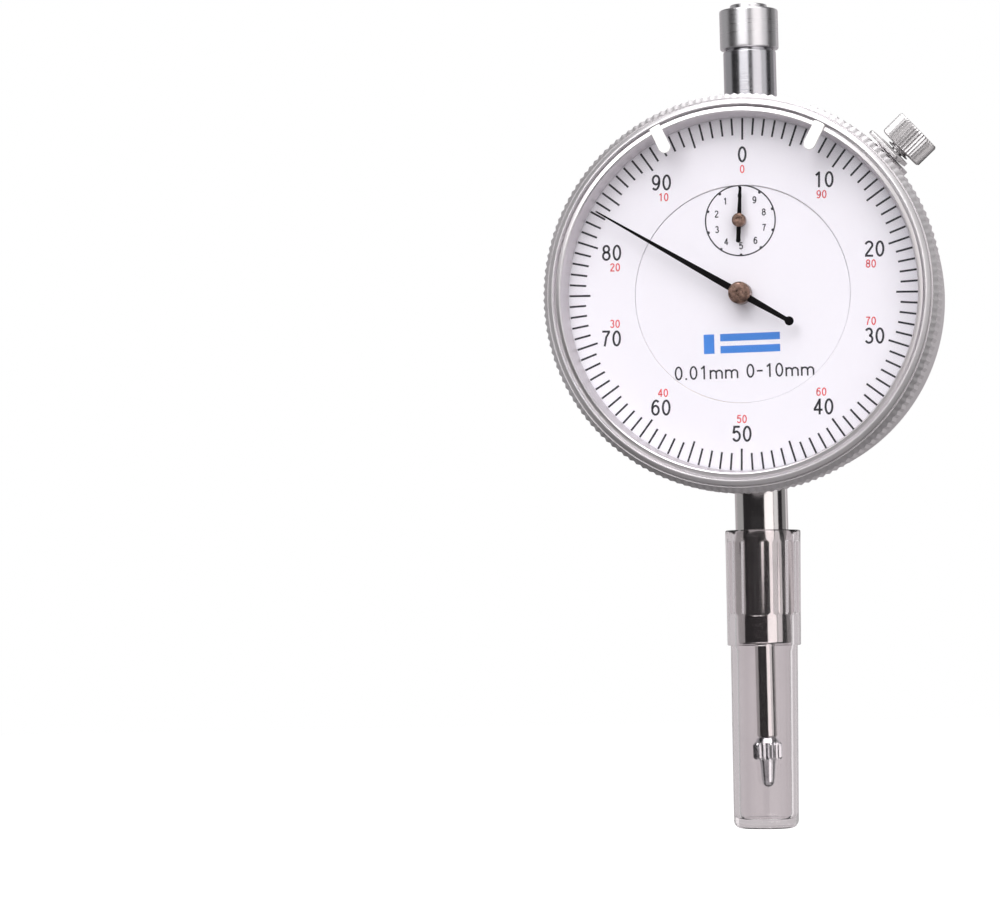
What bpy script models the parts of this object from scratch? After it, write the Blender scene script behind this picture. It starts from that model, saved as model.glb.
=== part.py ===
"""Dial indicator, 0 to 10 mm by 0.01 mm, with its movement, turning bezel and protective sleeve.

Metres, +Z up. The measuring spindle runs along Z and the dial faces -Y. The origin is on the
spindle's axis, in the middle of the stem's clamping length.

Pieces about the dial's axis are drawn as (radius, front), where front is the distance in front of
the spindle's axis, towards the reader. Pieces about the spindle's axis are drawn as (radius,
height), where height counts from the dial's centre.
"""

import math

import bmesh
import bpy
from mathutils import Matrix, Vector
from mathutils.geometry import convex_hull_2d

MM = 0.001
TURN = 2 * math.pi

# Smallest gap between two pieces that touch, and round a screw's or a pin's shank.
TOUCH = 0.3 * MM
FIT = 0.1 * MM
RUN = 0.05 * MM

# Sides of a full circle: rings about the dial, rods and tubes, and small pieces.
RING_SIDES = 52
HIDDEN_RING_SIDES = 36
ROD_SIDES = 24
SMALL_SIDES = 12

# The dial's centre above the origin.
DIAL_HEIGHT = 40.0 * MM

# Case: a ring, open at the back for the cover and stepped in at the front for the bezel.
CASE_R = 27.9 * MM
CASE_INNER_R = 26.1 * MM
CASE_REAR = -7.3 * MM
CASE_STEP = 7.2 * MM
SPIGOT_R = 27.2 * MM
SPIGOT_FRONT = 11.1 * MM
WIRE_GROOVE_R = 26.8 * MM
WIRE_GROOVE = (8.9 * MM, 9.9 * MM)
WEB_R = 22.2 * MM
WEB = (6.9 * MM, 8.1 * MM)

# Back cover and its lug.
COVER_R = 27.0 * MM
COVER_SEAT_R = 27.3 * MM
COVER_SEAT = -5.3 * MM
COVER_THICK = 1.5 * MM
COVER_REAR = -7.1 * MM
COVER_SCREW_RING_R = 24.2 * MM
COVER_SCREW_HEAD_R = 1.35 * MM
LUG_THICK = 5.2 * MM
LUG_BASE_WIDTH = 17.8 * MM
LUG_END_R = 8.6 * MM
LUG_HOLE_R = 3.25 * MM
LUG_HOLE_HEIGHT = 11.5 * MM

# Stem, upper tube and dust cap, about the spindle.
STEM_R = 4.0 * MM
STEM_TOP = -24.0 * MM
STEM_BOTTOM = -52.2 * MM
TUBE_BOTTOM = 24.0 * MM
TUBE_SHOULDER = 37.85 * MM
TUBE_TOP = 41.0 * MM
TUBE_THREAD_R = 3.5 * MM
CAP_R = 4.45 * MM
CAP_TOP = 44.2 * MM
CAP_ROOF = 42.6 * MM
CAP_BOSS_R = 2.8 * MM
CAP_BOSS_HEIGHT = 0.8 * MM

# Spindle, with a rack on its left, and the contact screwed into its lower end.
SPINDLE_R = 1.75 * MM
SPINDLE_TOP = 30.5 * MM
SPINDLE_BOTTOM = -66.3 * MM
TRAVEL = 10.0 * MM
CONTACT_STUD_R = 1.0 * MM
CONTACT_COLLAR_R = 2.2 * MM
CONTACT_COLLAR = (-69.6 * MM, -67.3 * MM)
CONTACT_TIP = -73.8 * MM
CONTACT_TIP_R = 0.85 * MM

# Gear train: ten millimetres of rack turn its pinion once and the main pointer ten times.
RACK_PITCH = 0.625 * MM
MODULE = RACK_PITCH / math.pi
PRESSURE_ANGLE = math.radians(20)
RACK_PINION_TEETH = 16
GEAR_TEETH = 100
CENTRE_PINION_TEETH = 10
TOOTH_THINNING = 0.02 * MM
GEAR_ADDENDUM = 0.8 * MODULE
PINION_ADDENDUM = 0.85 * MODULE
DEDENDUM = 1.15 * MODULE
RACK_LINE_X = -1.45 * MM
RACK_ADDENDUM = 0.18 * MM
RACK_DEDENDUM = 0.25 * MM
RACK_NOTCHES = 22
CENTRES = MODULE * (GEAR_TEETH + CENTRE_PINION_TEETH) / 2
RACK_ARBOR_X = RACK_LINE_X - MODULE * RACK_PINION_TEETH / 2
RACK_ARBOR_Z = -math.sqrt(CENTRES**2 - RACK_ARBOR_X**2)

# Levels of the movement, in front of the spindle's axis.
COCK = (-3.6 * MM, -2.6 * MM)
MIDDLE_PLATE = (3.2 * MM, 4.4 * MM)
GEARS = (6.0 * MM, 6.6 * MM)
FRONT_PLATE = (8.4 * MM, 9.6 * MM)
FRONT_PLATE_R = 25.8 * MM
PLATE_SCREW_RING_R = 23.9 * MM
PILLARS = ((-17.0 * MM, 3.0 * MM), (16.0 * MM, 4.0 * MM), (11.0 * MM, -16.5 * MM))
PILLAR_R = 1.8 * MM
COCK_FOOT = (-11.0 * MM, -12.5 * MM)
COCK_FOOT_R = 2.4 * MM
PIVOT_R = 0.3 * MM
RACK_SHAFT_R = 0.6 * MM
CENTRE_SHAFT_R = 0.5 * MM
TAKE_UP_SHAFT_R = 0.45 * MM
HAIRSPRING = 4.97 * MM
HAIRSPRING_WIRE = 0.12 * MM
HAIRSPRING_TURNS = 5
HAIRSPRING_R = (1.45 * MM, 6.3 * MM)
HAIRSPRING_STUD_R = 0.35 * MM

# Guide pin, its slotted rail, and the return spring beside them.
GUIDE_PIN_HEIGHT = 9.0 * MM
GUIDE_PIN_R = 0.6 * MM
GUIDE_PIN = (-1.4 * MM, 7.4 * MM)
RAIL = (2.6 * MM, 4.4 * MM)
RAIL_HALF_DEPTH = 2.0 * MM
SLOT_HALF_WIDTH = 0.7 * MM
SPRING_X = 6.2 * MM
SPRING_R = 1.1 * MM
SPRING_WIRE = 0.2 * MM
SPRING_TURNS = 11
SPRING_POST_Z = -17.0 * MM

# Dials, pointers and window.
DIAL = (12.0 * MM, 12.5 * MM)
DIAL_DISC = (11.8 * MM, 12.3 * MM)
DIAL_DISC_R = 16.0 * MM
DIAL_RING_R = (16.25 * MM, 27.2 * MM)
DIAL_SPACER_R = (13.4 * MM, 15.4 * MM)
MAIN_POINTER_ANGLE = math.radians(58.6)
MAIN_POINTER_TIP = 24.4 * MM
MAIN_POINTER_TAIL = 8.2 * MM
MAIN_POINTER = (14.4 * MM, 14.65 * MM)
SMALL_POINTER = (13.35 * MM, 13.6 * MM)
SMALL_POINTER_TIP = 4.9 * MM
SMALL_POINTER_TAIL = 3.1 * MM
CRYSTAL_R = 27.5 * MM
CRYSTAL = (15.7 * MM, 16.5 * MM)

# Bezel: a skirt over the case, a knurled band and a lip in front.
BEZEL_INNER_R = 27.5 * MM
SKIRT_R = 28.4 * MM
SKIRT_REAR = 7.5 * MM
KNURL_R = 29.75 * MM
KNURL = (10.0 * MM, 15.9 * MM)
LIP_R = 28.75 * MM
LIP_FRONT = 18.0 * MM
LIP_BORE_R = 27.9 * MM
FLANGE_R = 26.3 * MM
FLANGE = (12.8 * MM, 15.4 * MM)
TAB_ANGLES = {"tolerance_tab_left": math.radians(25.2), "tolerance_tab_right": math.radians(-28.0)}
TAB_HALF_WIDTH = 0.875 * MM
TAB_INNER_R = 23.4 * MM
TAB = (16.75 * MM, 17.1 * MM)
TAB_LEG_R = (27.56 * MM, 27.8 * MM)

# Bezel lock, on the case at the upper right. Its axis passes a little above the dial's centre.
CLAMP_ANGLE = math.radians(42)
CLAMP_OFFSET = 1.2 * MM
CLAMP_SEAT_R = 29.75 * MM
LEAF_R = (30.05 * MM, 30.7 * MM)
LEAF = (-3.2 * MM, 13.0 * MM)
LEAF_HALF_WIDTH = 3.5 * MM
CLAMP_KNOB_R = 3.75 * MM
CLAMP_KNOB = (31.45 * MM, 35.45 * MM)
CLAMP_COLLAR_R = 1.8 * MM
CLAMP_SHANK_R = 0.95 * MM
CLAMP_SHANK_END = 25.0 * MM

# Protective sleeve: its upper part grips the stem, and its lower part covers the contact.
SLEEVE_TOP = -35.0 * MM
SLEEVE_STEP = -52.4 * MM
SLEEVE_BOTTOM = -80.0 * MM
SLEEVE_UPPER_R = (5.7 * MM, 5.55 * MM)
SLEEVE_LOWER_R = (5.02 * MM, 4.7 * MM)
SLEEVE_BORE_R = 4.15 * MM
SLEEVE_LOWER_BORE_R = 3.8 * MM
SLEEVE_FLOOR = -78.4 * MM

# name: colour, metallic, roughness.
FINISHES = {
    "satin_chrome": ((0.66, 0.66, 0.68), 1.0, 0.32),
    "steel": ((0.60, 0.60, 0.61), 1.0, 0.18),
    "nickel": ((0.68, 0.66, 0.60), 1.0, 0.25),
    "brass": ((0.72, 0.55, 0.28), 1.0, 0.30),
    "hub_brass": ((0.36, 0.24, 0.16), 1.0, 0.40),
    "black_plastic": ((0.02, 0.02, 0.02), 0.0, 0.45),
    "dial_white": ((0.90, 0.90, 0.92), 0.0, 0.60),
    "pointer_black": ((0.01, 0.01, 0.01), 0.0, 0.50),
    "crystal_clear": ((0.95, 0.97, 0.98), 0.0, 0.05),
    "sleeve_clear": ((0.85, 0.84, 0.86), 0.0, 0.12),
    "tab_white": ((0.92, 0.91, 0.90), 0.0, 0.50),
}


# Tools


def clear_scene():
    for obj in list(bpy.data.objects):
        bpy.data.objects.remove(obj, do_unlink=True)


def make_finish(name):
    colour, metallic, roughness = FINISHES[name]
    finish = bpy.data.materials.new(name)
    finish.use_nodes = True
    shader = finish.node_tree.nodes["Principled BSDF"]
    shader.inputs["Base Color"].default_value = (*colour, 1.0)
    shader.inputs["Metallic"].default_value = metallic
    shader.inputs["Roughness"].default_value = roughness
    return finish


def axis_empty(name, place, along, across):
    """An empty at place, with its local Z along one direction and its local X across it."""
    z = Vector(along).normalized()
    x = Vector(across).normalized()
    empty = bpy.data.objects.new(name, None)
    matrix = Matrix((x, z.cross(x), z)).transposed().to_4x4()
    matrix.translation = place
    empty.matrix_world = matrix
    bpy.context.collection.objects.link(empty)
    return empty


def dial_side_axis(name, x=0.0, height=0.0):
    """An axis through the dial at (x, height) from its centre: local X right, Y up, Z to the front."""
    return axis_empty(name, (x, 0, DIAL_HEIGHT + height), (0, -1, 0), (1, 0, 0))


def add_object(name, axis, mesh, finish):
    bmesh.ops.remove_doubles(mesh, verts=mesh.verts, dist=1e-7)
    bmesh.ops.recalc_face_normals(mesh, faces=mesh.faces)
    data = bpy.data.meshes.new(name)
    mesh.to_mesh(data)
    mesh.free()
    data.shade_smooth()
    data.set_sharp_from_angle(angle=math.radians(30))
    if finish:
        data.materials.append(FINISH[finish])
    obj = bpy.data.objects.new(name, data)
    obj.parent = axis
    bpy.context.collection.objects.link(obj)
    return obj


def turned(name, axis, section, finish=None, sides=RING_SIDES):
    """A solid of revolution about the axis. section is its outline as (radius, height) points."""
    mesh = bmesh.new()
    points = [mesh.verts.new((radius, 0, height)) for radius, height in section]
    edges = [mesh.edges.new(pair) for pair in zip(points, points[1:])]
    if section[0][0] > 0 or section[-1][0] > 0:
        edges.append(mesh.edges.new((points[-1], points[0])))
    bmesh.ops.spin(
        mesh, geom=points + edges, axis=(0, 0, 1), cent=(0, 0, 0), angle=TURN, steps=sides, use_merge=True
    )
    return add_object(name, axis, mesh, finish)


def rod(name, axis, radius, low, high, finish=None, sides=SMALL_SIDES):
    outline = [polar(radius, TURN * (i + 0.5) / sides) for i in range(sides)]
    return prism(name, axis, outline, (low, high), finish)


def ring(name, axis, radii, span, finish=None, sides=RING_SIDES):
    inner, outer = radii
    low, high = span
    section = [(inner, low), (outer, low), (outer, high), (inner, high)]
    return turned(name, axis, section, finish, sides)


def split_ring(name, axis, radii, span, finish, gap_angle):
    """A ring with a gap at its lowest point."""
    inner, outer = radii
    start = -math.pi / 2 + gap_angle / 2
    sweep = TURN - gap_angle
    angles = [start + sweep * i / HIDDEN_RING_SIDES for i in range(HIDDEN_RING_SIDES + 1)]
    outline = [polar(outer, angle) for angle in angles]
    outline += [polar(inner, angle) for angle in reversed(angles)]
    return prism(name, axis, outline, span, finish)


def prism(name, axis, outline, span, finish=None):
    """A solid of constant section: outline is its (x, y) section, and span its ends along Z."""
    low, high = span
    mesh = bmesh.new()
    face = mesh.faces.new([mesh.verts.new((x, y, low)) for x, y in outline])
    grown = bmesh.ops.extrude_face_region(mesh, geom=[face])["geom"]
    moved = [item for item in grown if isinstance(item, bmesh.types.BMVert)]
    bmesh.ops.translate(mesh, verts=moved, vec=(0, 0, high - low))
    return add_object(name, axis, mesh, finish)


def wire(name, axis, points, radius, finish):
    """A wire of four sides through the points."""
    curve = bpy.data.curves.new(name, "CURVE")
    curve.dimensions = "3D"
    curve.bevel_depth = radius
    curve.bevel_resolution = 0
    curve.use_fill_caps = True
    spline = curve.splines.new("POLY")
    spline.points.add(len(points) - 1)
    for point, place in zip(spline.points, points):
        point.co = (*place, 1)
    curve.materials.append(FINISH[finish])
    obj = bpy.data.objects.new(name, curve)
    obj.parent = axis
    bpy.context.collection.objects.link(obj)
    return obj


def combine(target, tool, operation):
    tool.hide_render = True
    tool.display_type = "WIRE"
    modifier = target.modifiers.new(tool.name, "BOOLEAN")
    modifier.operation = operation
    modifier.object = tool


def cut(target, tool):
    combine(target, tool, "DIFFERENCE")


def join(target, tool):
    combine(target, tool, "UNION")


def cut_hole(target, axis, radius, span, place=(0, 0), sides=SMALL_SIDES):
    """A round hole along the axis, at place across it."""
    low, high = span
    tool = rod(f"{target.name}_cutter", axis, radius, low, high, sides=sides)
    tool.location = (*place, 0)
    cut(target, tool)


def polar(radius, angle):
    return (radius * math.cos(angle), radius * math.sin(angle))


def arc(centre, radius, start, end, steps):
    """Points of an arc, from the angle start to the angle end."""
    angles = [start + (end - start) * i / steps for i in range(steps + 1)]
    return [(centre[0] + radius * math.cos(a), centre[1] + radius * math.sin(a)) for a in angles]


def hull_of_circles(circles):
    """The outline of a band drawn round (x, y, radius) circles."""
    points = []
    for x, y, radius in circles:
        points += arc((x, y), radius, 0, TURN, 24)[:-1]
    return [points[i] for i in convex_hull_2d(points)]


def screw(name, axis, place, head_r, head, shank_r, shank_end, finish):
    """A screw along the axis, at place across it, with its head between two heights."""
    under, top = head
    section = [(0, shank_end), (shank_r, shank_end), (shank_r, under)]
    section += [(head_r, under), (head_r, top), (0, top)]
    obj = turned(name, axis, section, finish, SMALL_SIDES)
    obj.location = (*place, 0)
    return obj


# Gear teeth


def involute(angle):
    return math.tan(angle) - angle


def tooth_half_angle(radius, teeth):
    """Half the angle that a tooth fills at this radius."""
    pitch_r = MODULE * teeth / 2
    base_r = pitch_r * math.cos(PRESSURE_ANGLE)
    roll = math.acos(base_r / radius) if radius > base_r else 0
    half = math.pi / (2 * teeth) - TOOTH_THINNING / pitch_r
    return half + involute(PRESSURE_ANGLE) - involute(roll)


def gear_outline(teeth, addendum, first_tooth, flank_points):
    """A gear's outline, with the middle of one tooth at the angle first_tooth."""
    pitch_r = MODULE * teeth / 2
    root_r = pitch_r - DEDENDUM
    tip_r = pitch_r + addendum
    radii = [root_r + (tip_r - root_r) * i / (flank_points - 1) for i in range(flank_points)]
    outline = []
    for tooth in range(teeth):
        middle = first_tooth + TURN * tooth / teeth
        outline += [polar(r, middle - tooth_half_angle(r, teeth)) for r in radii]
        outline += [polar(r, middle + tooth_half_angle(r, teeth)) for r in reversed(radii)]
    return outline


def rack_notches():
    """The rack's notches as one saw-tooth cutter outline, (x, height), open to the left."""
    flank = math.tan(PRESSURE_ANGLE)
    half = RACK_PITCH / 4 + TOOTH_THINNING
    tip_x = RACK_LINE_X - RACK_ADDENDUM
    root_x = RACK_LINE_X + RACK_DEDENDUM
    outside_x = -SPINDLE_R - 1 * MM
    tip_half = half + RACK_ADDENDUM * flank
    root_half = half - RACK_DEDENDUM * flank
    middles = [RACK_ARBOR_Z + RACK_PITCH * (3 - i) for i in range(RACK_NOTCHES)]
    outline = [(outside_x, middles[0] + RACK_PITCH)]
    for middle in middles:
        outline += [(tip_x, middle + tip_half), (root_x, middle + root_half)]
        outline += [(root_x, middle - root_half), (tip_x, middle - tip_half)]
    outline.append((outside_x, middles[-1] - RACK_PITCH))
    return outline


# Case


def make_case_body():
    chamfer = 0.4 * MM
    groove_low, groove_high = WIRE_GROOVE
    web_low, web_high = WEB
    section = [
        (CASE_R - chamfer, CASE_REAR),
        (CASE_R, CASE_REAR + chamfer),
        (CASE_R, CASE_STEP),
        (SPIGOT_R, CASE_STEP),
        (SPIGOT_R, groove_low),
        (WIRE_GROOVE_R, groove_low),
        (WIRE_GROOVE_R, groove_high),
        (SPIGOT_R, groove_high),
        (SPIGOT_R, SPIGOT_FRONT),
        (CASE_INNER_R, SPIGOT_FRONT),
        (CASE_INNER_R, web_high),
        (WEB_R, web_high),
        (WEB_R, web_low),
        (CASE_INNER_R, web_low),
        (CASE_INNER_R, COVER_SEAT),
        (COVER_SEAT_R, COVER_SEAT),
        (COVER_SEAT_R, CASE_REAR),
    ]
    case = turned("case_body", DIAL_AXIS, section, "satin_chrome")
    boss_span = (COVER_SEAT + FIT, -1.0 * MM)
    for number, place in enumerate(cover_screw_places(), 1):
        boss = rod(f"cover_boss_{number}", DIAL_AXIS, 2.4 * MM, *boss_span)
        boss.location = (*place, 0)
        join(case, boss)
    seat = [(-2.6 * MM, -3.0 * MM), (2.6 * MM, -3.0 * MM), (2.6 * MM, 3.0 * MM), (-2.6 * MM, 3.0 * MM)]
    join(case, prism("clamp_seat", CLAMP_AXIS, seat, (CASE_INNER_R + 0.6 * MM, CLAMP_SEAT_R)))
    for place in cover_screw_places():
        cut_hole(case, DIAL_AXIS, 0.9 * MM, (CASE_REAR, -2.0 * MM), place)
    for place in plate_screw_places():
        cut_hole(case, DIAL_AXIS, 0.9 * MM, (5 * MM, 9 * MM), place)
    cut_hole(case, CLAMP_AXIS, CLAMP_SHANK_R + FIT, (CLAMP_SHANK_END - 1 * MM, LEAF_R[0]))
    cut_hole(case, STEM_AXIS, STEM_R + FIT, (STEM_TOP - 7 * MM, STEM_TOP + 1 * MM), sides=ROD_SIDES)
    cut_hole(case, STEM_AXIS, STEM_R + FIT, (TUBE_BOTTOM - 1 * MM, TUBE_BOTTOM + 7 * MM), sides=ROD_SIDES)
    return case


def cover_screw_places():
    return [polar(COVER_SCREW_RING_R, TURN * i / 3) for i in range(3)]


def plate_screw_places():
    """Clear of the stem below, of the upper tube and of the bezel lock."""
    return [polar(PLATE_SCREW_RING_R, math.radians(angle)) for angle in (10, 140, 230)]


def lug_outline():
    """The lug seen along its hole, as (behind the spindle's axis, height)."""
    hole_depth = -COVER_REAR + LUG_HOLE_HEIGHT
    base_depth = -COVER_REAR - COVER_THICK / 2
    half_base = LUG_BASE_WIDTH / 2
    end = arc((hole_depth, 0), LUG_END_R, -math.pi / 2, math.pi / 2, 24)
    return [(base_depth, -half_base), *end, (base_depth, half_base)]


def make_back_cover():
    """The cover with its lug, which are one moulding."""
    span = (COVER_REAR, COVER_REAR + COVER_THICK)
    cover = rod("back_cover", DIAL_AXIS, COVER_R, *span, "black_plastic", RING_SIDES)
    lug = prism("lug", LUG_AXIS, lug_outline(), (-LUG_THICK / 2, LUG_THICK / 2))
    join(cover, lug)
    hole_place = (-COVER_REAR + LUG_HOLE_HEIGHT, 0)
    cut_hole(cover, LUG_AXIS, LUG_HOLE_R, (-LUG_THICK, LUG_THICK), hole_place, ROD_SIDES)
    for place in cover_screw_places():
        cut_hole(cover, DIAL_AXIS, 0.95 * MM, (-9 * MM, -3 * MM), place)
        cut_hole(cover, DIAL_AXIS, 1.6 * MM, (-9 * MM, COVER_REAR + 0.8 * MM), place)
    return cover


def make_cover_screws():
    head = (COVER_REAR + 0.65 * MM, COVER_REAR + 0.05 * MM)
    for number, place in enumerate(cover_screw_places(), 1):
        name = f"cover_screw_{number}"
        screw(name, DIAL_AXIS, place, COVER_SCREW_HEAD_R, head, 0.8 * MM, -2.4 * MM, "nickel")


def make_stem():
    chamfer = 0.4 * MM
    bore = SPINDLE_R + FIT
    section = [
        (bore, STEM_BOTTOM),
        (STEM_R - chamfer, STEM_BOTTOM),
        (STEM_R, STEM_BOTTOM + chamfer),
        (STEM_R, STEM_TOP),
        (bore, STEM_TOP),
    ]
    return turned("stem", STEM_AXIS, section, "steel", ROD_SIDES)


def make_upper_tube():
    chamfer = 0.3 * MM
    bore = SPINDLE_R + FIT
    section = [
        (bore, TUBE_BOTTOM),
        (STEM_R, TUBE_BOTTOM),
        (STEM_R, TUBE_SHOULDER - chamfer),
        (STEM_R - chamfer, TUBE_SHOULDER),
        (TUBE_THREAD_R, TUBE_SHOULDER),
        (TUBE_THREAD_R, TUBE_TOP),
        (bore, TUBE_TOP),
    ]
    return turned("upper_tube", STEM_AXIS, section, "steel", ROD_SIDES)


def make_dust_cap():
    chamfer = 0.3 * MM
    bottom = TUBE_SHOULDER + TOUCH
    bore = TUBE_THREAD_R + FIT
    section = [
        (bore, bottom),
        (CAP_R - chamfer, bottom),
        (CAP_R, bottom + chamfer),
        (CAP_R, CAP_TOP - chamfer),
        (CAP_R - chamfer, CAP_TOP),
        (CAP_BOSS_R, CAP_TOP),
        (CAP_BOSS_R, CAP_TOP + CAP_BOSS_HEIGHT - chamfer),
        (CAP_BOSS_R - chamfer, CAP_TOP + CAP_BOSS_HEIGHT),
        (0, CAP_TOP + CAP_BOSS_HEIGHT),
        (0, CAP_ROOF),
        (bore, CAP_ROOF),
    ]
    # The outline starts and ends on the axis.
    return turned("dust_cap", STEM_AXIS, section[9:] + section[:9], "satin_chrome", ROD_SIDES)


# Movement


def make_front_plate():
    plate = rod("front_plate", DIAL_AXIS, FRONT_PLATE_R, *FRONT_PLATE, "brass", RING_SIDES)
    through = (FRONT_PLATE[0] - 1 * MM, FRONT_PLATE[1] + 1 * MM)
    cut_hole(plate, DIAL_AXIS, CENTRE_SHAFT_R + RUN, through)
    cut_hole(plate, TAKE_UP_AXIS, TAKE_UP_SHAFT_R + RUN, through)
    cut_hole(plate, RACK_ARBOR_AXIS, PIVOT_R + RUN, through)
    for place in plate_screw_places():
        cut_hole(plate, DIAL_AXIS, 0.95 * MM, through, place)
    for place in PILLARS:
        cut_hole(plate, DIAL_AXIS, 0.9 * MM + FIT, through, place)
    return plate


def make_plate_screws():
    head = (FRONT_PLATE[1] + FIT, FRONT_PLATE[1] + 0.9 * MM)
    for number, place in enumerate(plate_screw_places(), 1):
        name = f"plate_screw_{number}"
        screw(name, DIAL_AXIS, place, 1.3 * MM, head, 0.8 * MM, WEB[0] + 0.2 * MM, "steel")


def make_middle_plate():
    circles = [(x, z, 3.0 * MM) for x, z in PILLARS]
    circles += [(*COCK_FOOT, 3.0 * MM), (0, CENTRES, 8.2 * MM)]
    plate = prism("middle_plate", DIAL_AXIS, hull_of_circles(circles), MIDDLE_PLATE, "brass")
    through = (MIDDLE_PLATE[0] - 1 * MM, MIDDLE_PLATE[1] + 1 * MM)
    cut_hole(plate, DIAL_AXIS, PIVOT_R + RUN, through)
    cut_hole(plate, TAKE_UP_AXIS, PIVOT_R + RUN, through)
    cut_hole(plate, RACK_ARBOR_AXIS, RACK_SHAFT_R + RUN, through)
    for place in (*PILLARS, COCK_FOOT):
        cut_hole(plate, DIAL_AXIS, 0.7 * MM + FIT, through, place)
    return plate


def make_pillars():
    """Pillars riveted in the front plate, tapped for the middle plate's screws."""
    low = MIDDLE_PLATE[1] + TOUCH
    high = FRONT_PLATE[0] - TOUCH
    bore = 0.7 * MM + FIT
    section = [
        (0, FRONT_PLATE[1] - FIT),
        (0.9 * MM, FRONT_PLATE[1] - FIT),
        (0.9 * MM, high),
        (PILLAR_R, high),
        (PILLAR_R, low),
        (bore, low),
        (bore, high - 1 * MM),
        (0, high - 1 * MM),
    ]
    for number, place in enumerate(PILLARS, 1):
        pillar = turned(f"pillar_{number}", DIAL_AXIS, section, "brass", SMALL_SIDES)
        pillar.location = (*place, 0)


def make_bridge_screws():
    under = MIDDLE_PLATE[0] - FIT
    head = (under, under - 0.8 * MM)
    end = FRONT_PLATE[0] - 1.8 * MM
    for number, place in enumerate(PILLARS, 1):
        screw(f"bridge_screw_{number}", DIAL_AXIS, place, 1.3 * MM, head, 0.7 * MM, end, "steel")


def make_rear_cock():
    """A small bridge behind the spindle's axis for the rack arbor's rear pivot."""
    circles = [(RACK_ARBOR_X, RACK_ARBOR_Z, 1.3 * MM), (*COCK_FOOT, COCK_FOOT_R)]
    cock = prism("rear_cock", DIAL_AXIS, hull_of_circles(circles), COCK, "brass")
    foot_span = (COCK[0] + FIT, MIDDLE_PLATE[0] - TOUCH)
    foot = rod("cock_foot", DIAL_AXIS, COCK_FOOT_R - FIT, *foot_span)
    foot.location = (*COCK_FOOT, 0)
    join(cock, foot)
    through = (COCK[0] - 1 * MM, MIDDLE_PLATE[0])
    cut_hole(cock, DIAL_AXIS, 0.7 * MM + FIT, through, COCK_FOOT)
    cut_hole(cock, RACK_ARBOR_AXIS, PIVOT_R + RUN, through)
    return cock


def make_cock_screw():
    head = (COCK[0] - FIT, COCK[0] - 0.9 * MM)
    end = MIDDLE_PLATE[1] - 0.2 * MM
    screw("cock_screw", DIAL_AXIS, COCK_FOOT, 1.3 * MM, head, 0.7 * MM, end, "steel")


def make_gear(name, axis, first_tooth, shaft_r):
    """A 100-tooth gear with a hub, bored for its arbor."""
    outline = gear_outline(GEAR_TEETH, GEAR_ADDENDUM, first_tooth, 2)
    gear = prism(name, axis, outline, GEARS, "brass")
    join(gear, rod(f"{name}_hub", axis, 1.5 * MM, GEARS[0] - 0.4 * MM, GEARS[1] + 0.6 * MM))
    cut_hole(gear, axis, shaft_r + RUN, (GEARS[0] - 2 * MM, GEARS[1] + 2 * MM))
    return gear


def make_rack_arbor():
    """The arbor whose pinion the rack drives. One tooth points at the rack."""
    section = [
        (0, COCK[0] + FIT),
        (PIVOT_R, COCK[0] + FIT),
        (PIVOT_R, -2.3 * MM),
        (RACK_SHAFT_R, -2.3 * MM),
        (RACK_SHAFT_R, FRONT_PLATE[0] - TOUCH),
        (PIVOT_R, FRONT_PLATE[0] - TOUCH),
        (PIVOT_R, FRONT_PLATE[1] - FIT),
        (0, FRONT_PLATE[1] - FIT),
    ]
    arbor = turned("rack_arbor", RACK_ARBOR_AXIS, section, "steel", SMALL_SIDES)
    teeth = gear_outline(RACK_PINION_TEETH, PINION_ADDENDUM, 0, 3)
    join(arbor, prism("rack_pinion", RACK_ARBOR_AXIS, teeth, (-2 * MM, 2 * MM)))
    return arbor


def make_gear_train():
    """Gears and pinions in mesh at rest: a pinion tooth in a gap of each gear."""
    to_rack_gear = math.atan2(RACK_ARBOR_Z, RACK_ARBOR_X)
    half_tooth = math.pi / GEAR_TEETH
    make_rack_arbor()
    make_gear("rack_gear", RACK_ARBOR_AXIS, to_rack_gear + math.pi + half_tooth, RACK_SHAFT_R)
    make_centre_arbor(to_rack_gear)
    pinion_step = TURN / CENTRE_PINION_TEETH
    behind_top = (math.pi / 2 - to_rack_gear) % pinion_step
    on_gear = behind_top * CENTRE_PINION_TEETH / GEAR_TEETH
    make_gear("take_up_gear", TAKE_UP_AXIS, -math.pi / 2 + on_gear + half_tooth, TAKE_UP_SHAFT_R)


def make_centre_arbor(first_tooth):
    """The arbor that carries the main pointer, with its pinion."""
    top = MAIN_POINTER[1] + 0.4 * MM
    section = [
        (0, MIDDLE_PLATE[0] + FIT),
        (PIVOT_R, MIDDLE_PLATE[0] + FIT),
        (PIVOT_R, MIDDLE_PLATE[1] + TOUCH),
        (CENTRE_SHAFT_R, MIDDLE_PLATE[1] + TOUCH),
        (CENTRE_SHAFT_R, top),
        (0, top),
    ]
    arbor = turned("centre_arbor", DIAL_AXIS, section, "steel", SMALL_SIDES)
    teeth = gear_outline(CENTRE_PINION_TEETH, PINION_ADDENDUM, first_tooth, 3)
    join(arbor, prism("centre_pinion", DIAL_AXIS, teeth, (5.4 * MM, 7.2 * MM)))
    return arbor


def make_take_up_arbor():
    """The arbor of the second gear, which carries the small pointer."""
    top = SMALL_POINTER[1] + 0.2 * MM
    section = [
        (0, MIDDLE_PLATE[0] + FIT),
        (PIVOT_R, MIDDLE_PLATE[0] + FIT),
        (PIVOT_R, MIDDLE_PLATE[1] + FIT),
        (TAKE_UP_SHAFT_R, MIDDLE_PLATE[1] + FIT),
        (TAKE_UP_SHAFT_R, top),
        (0, top),
    ]
    return turned("take_up_arbor", TAKE_UP_AXIS, section, "steel", SMALL_SIDES)


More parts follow.
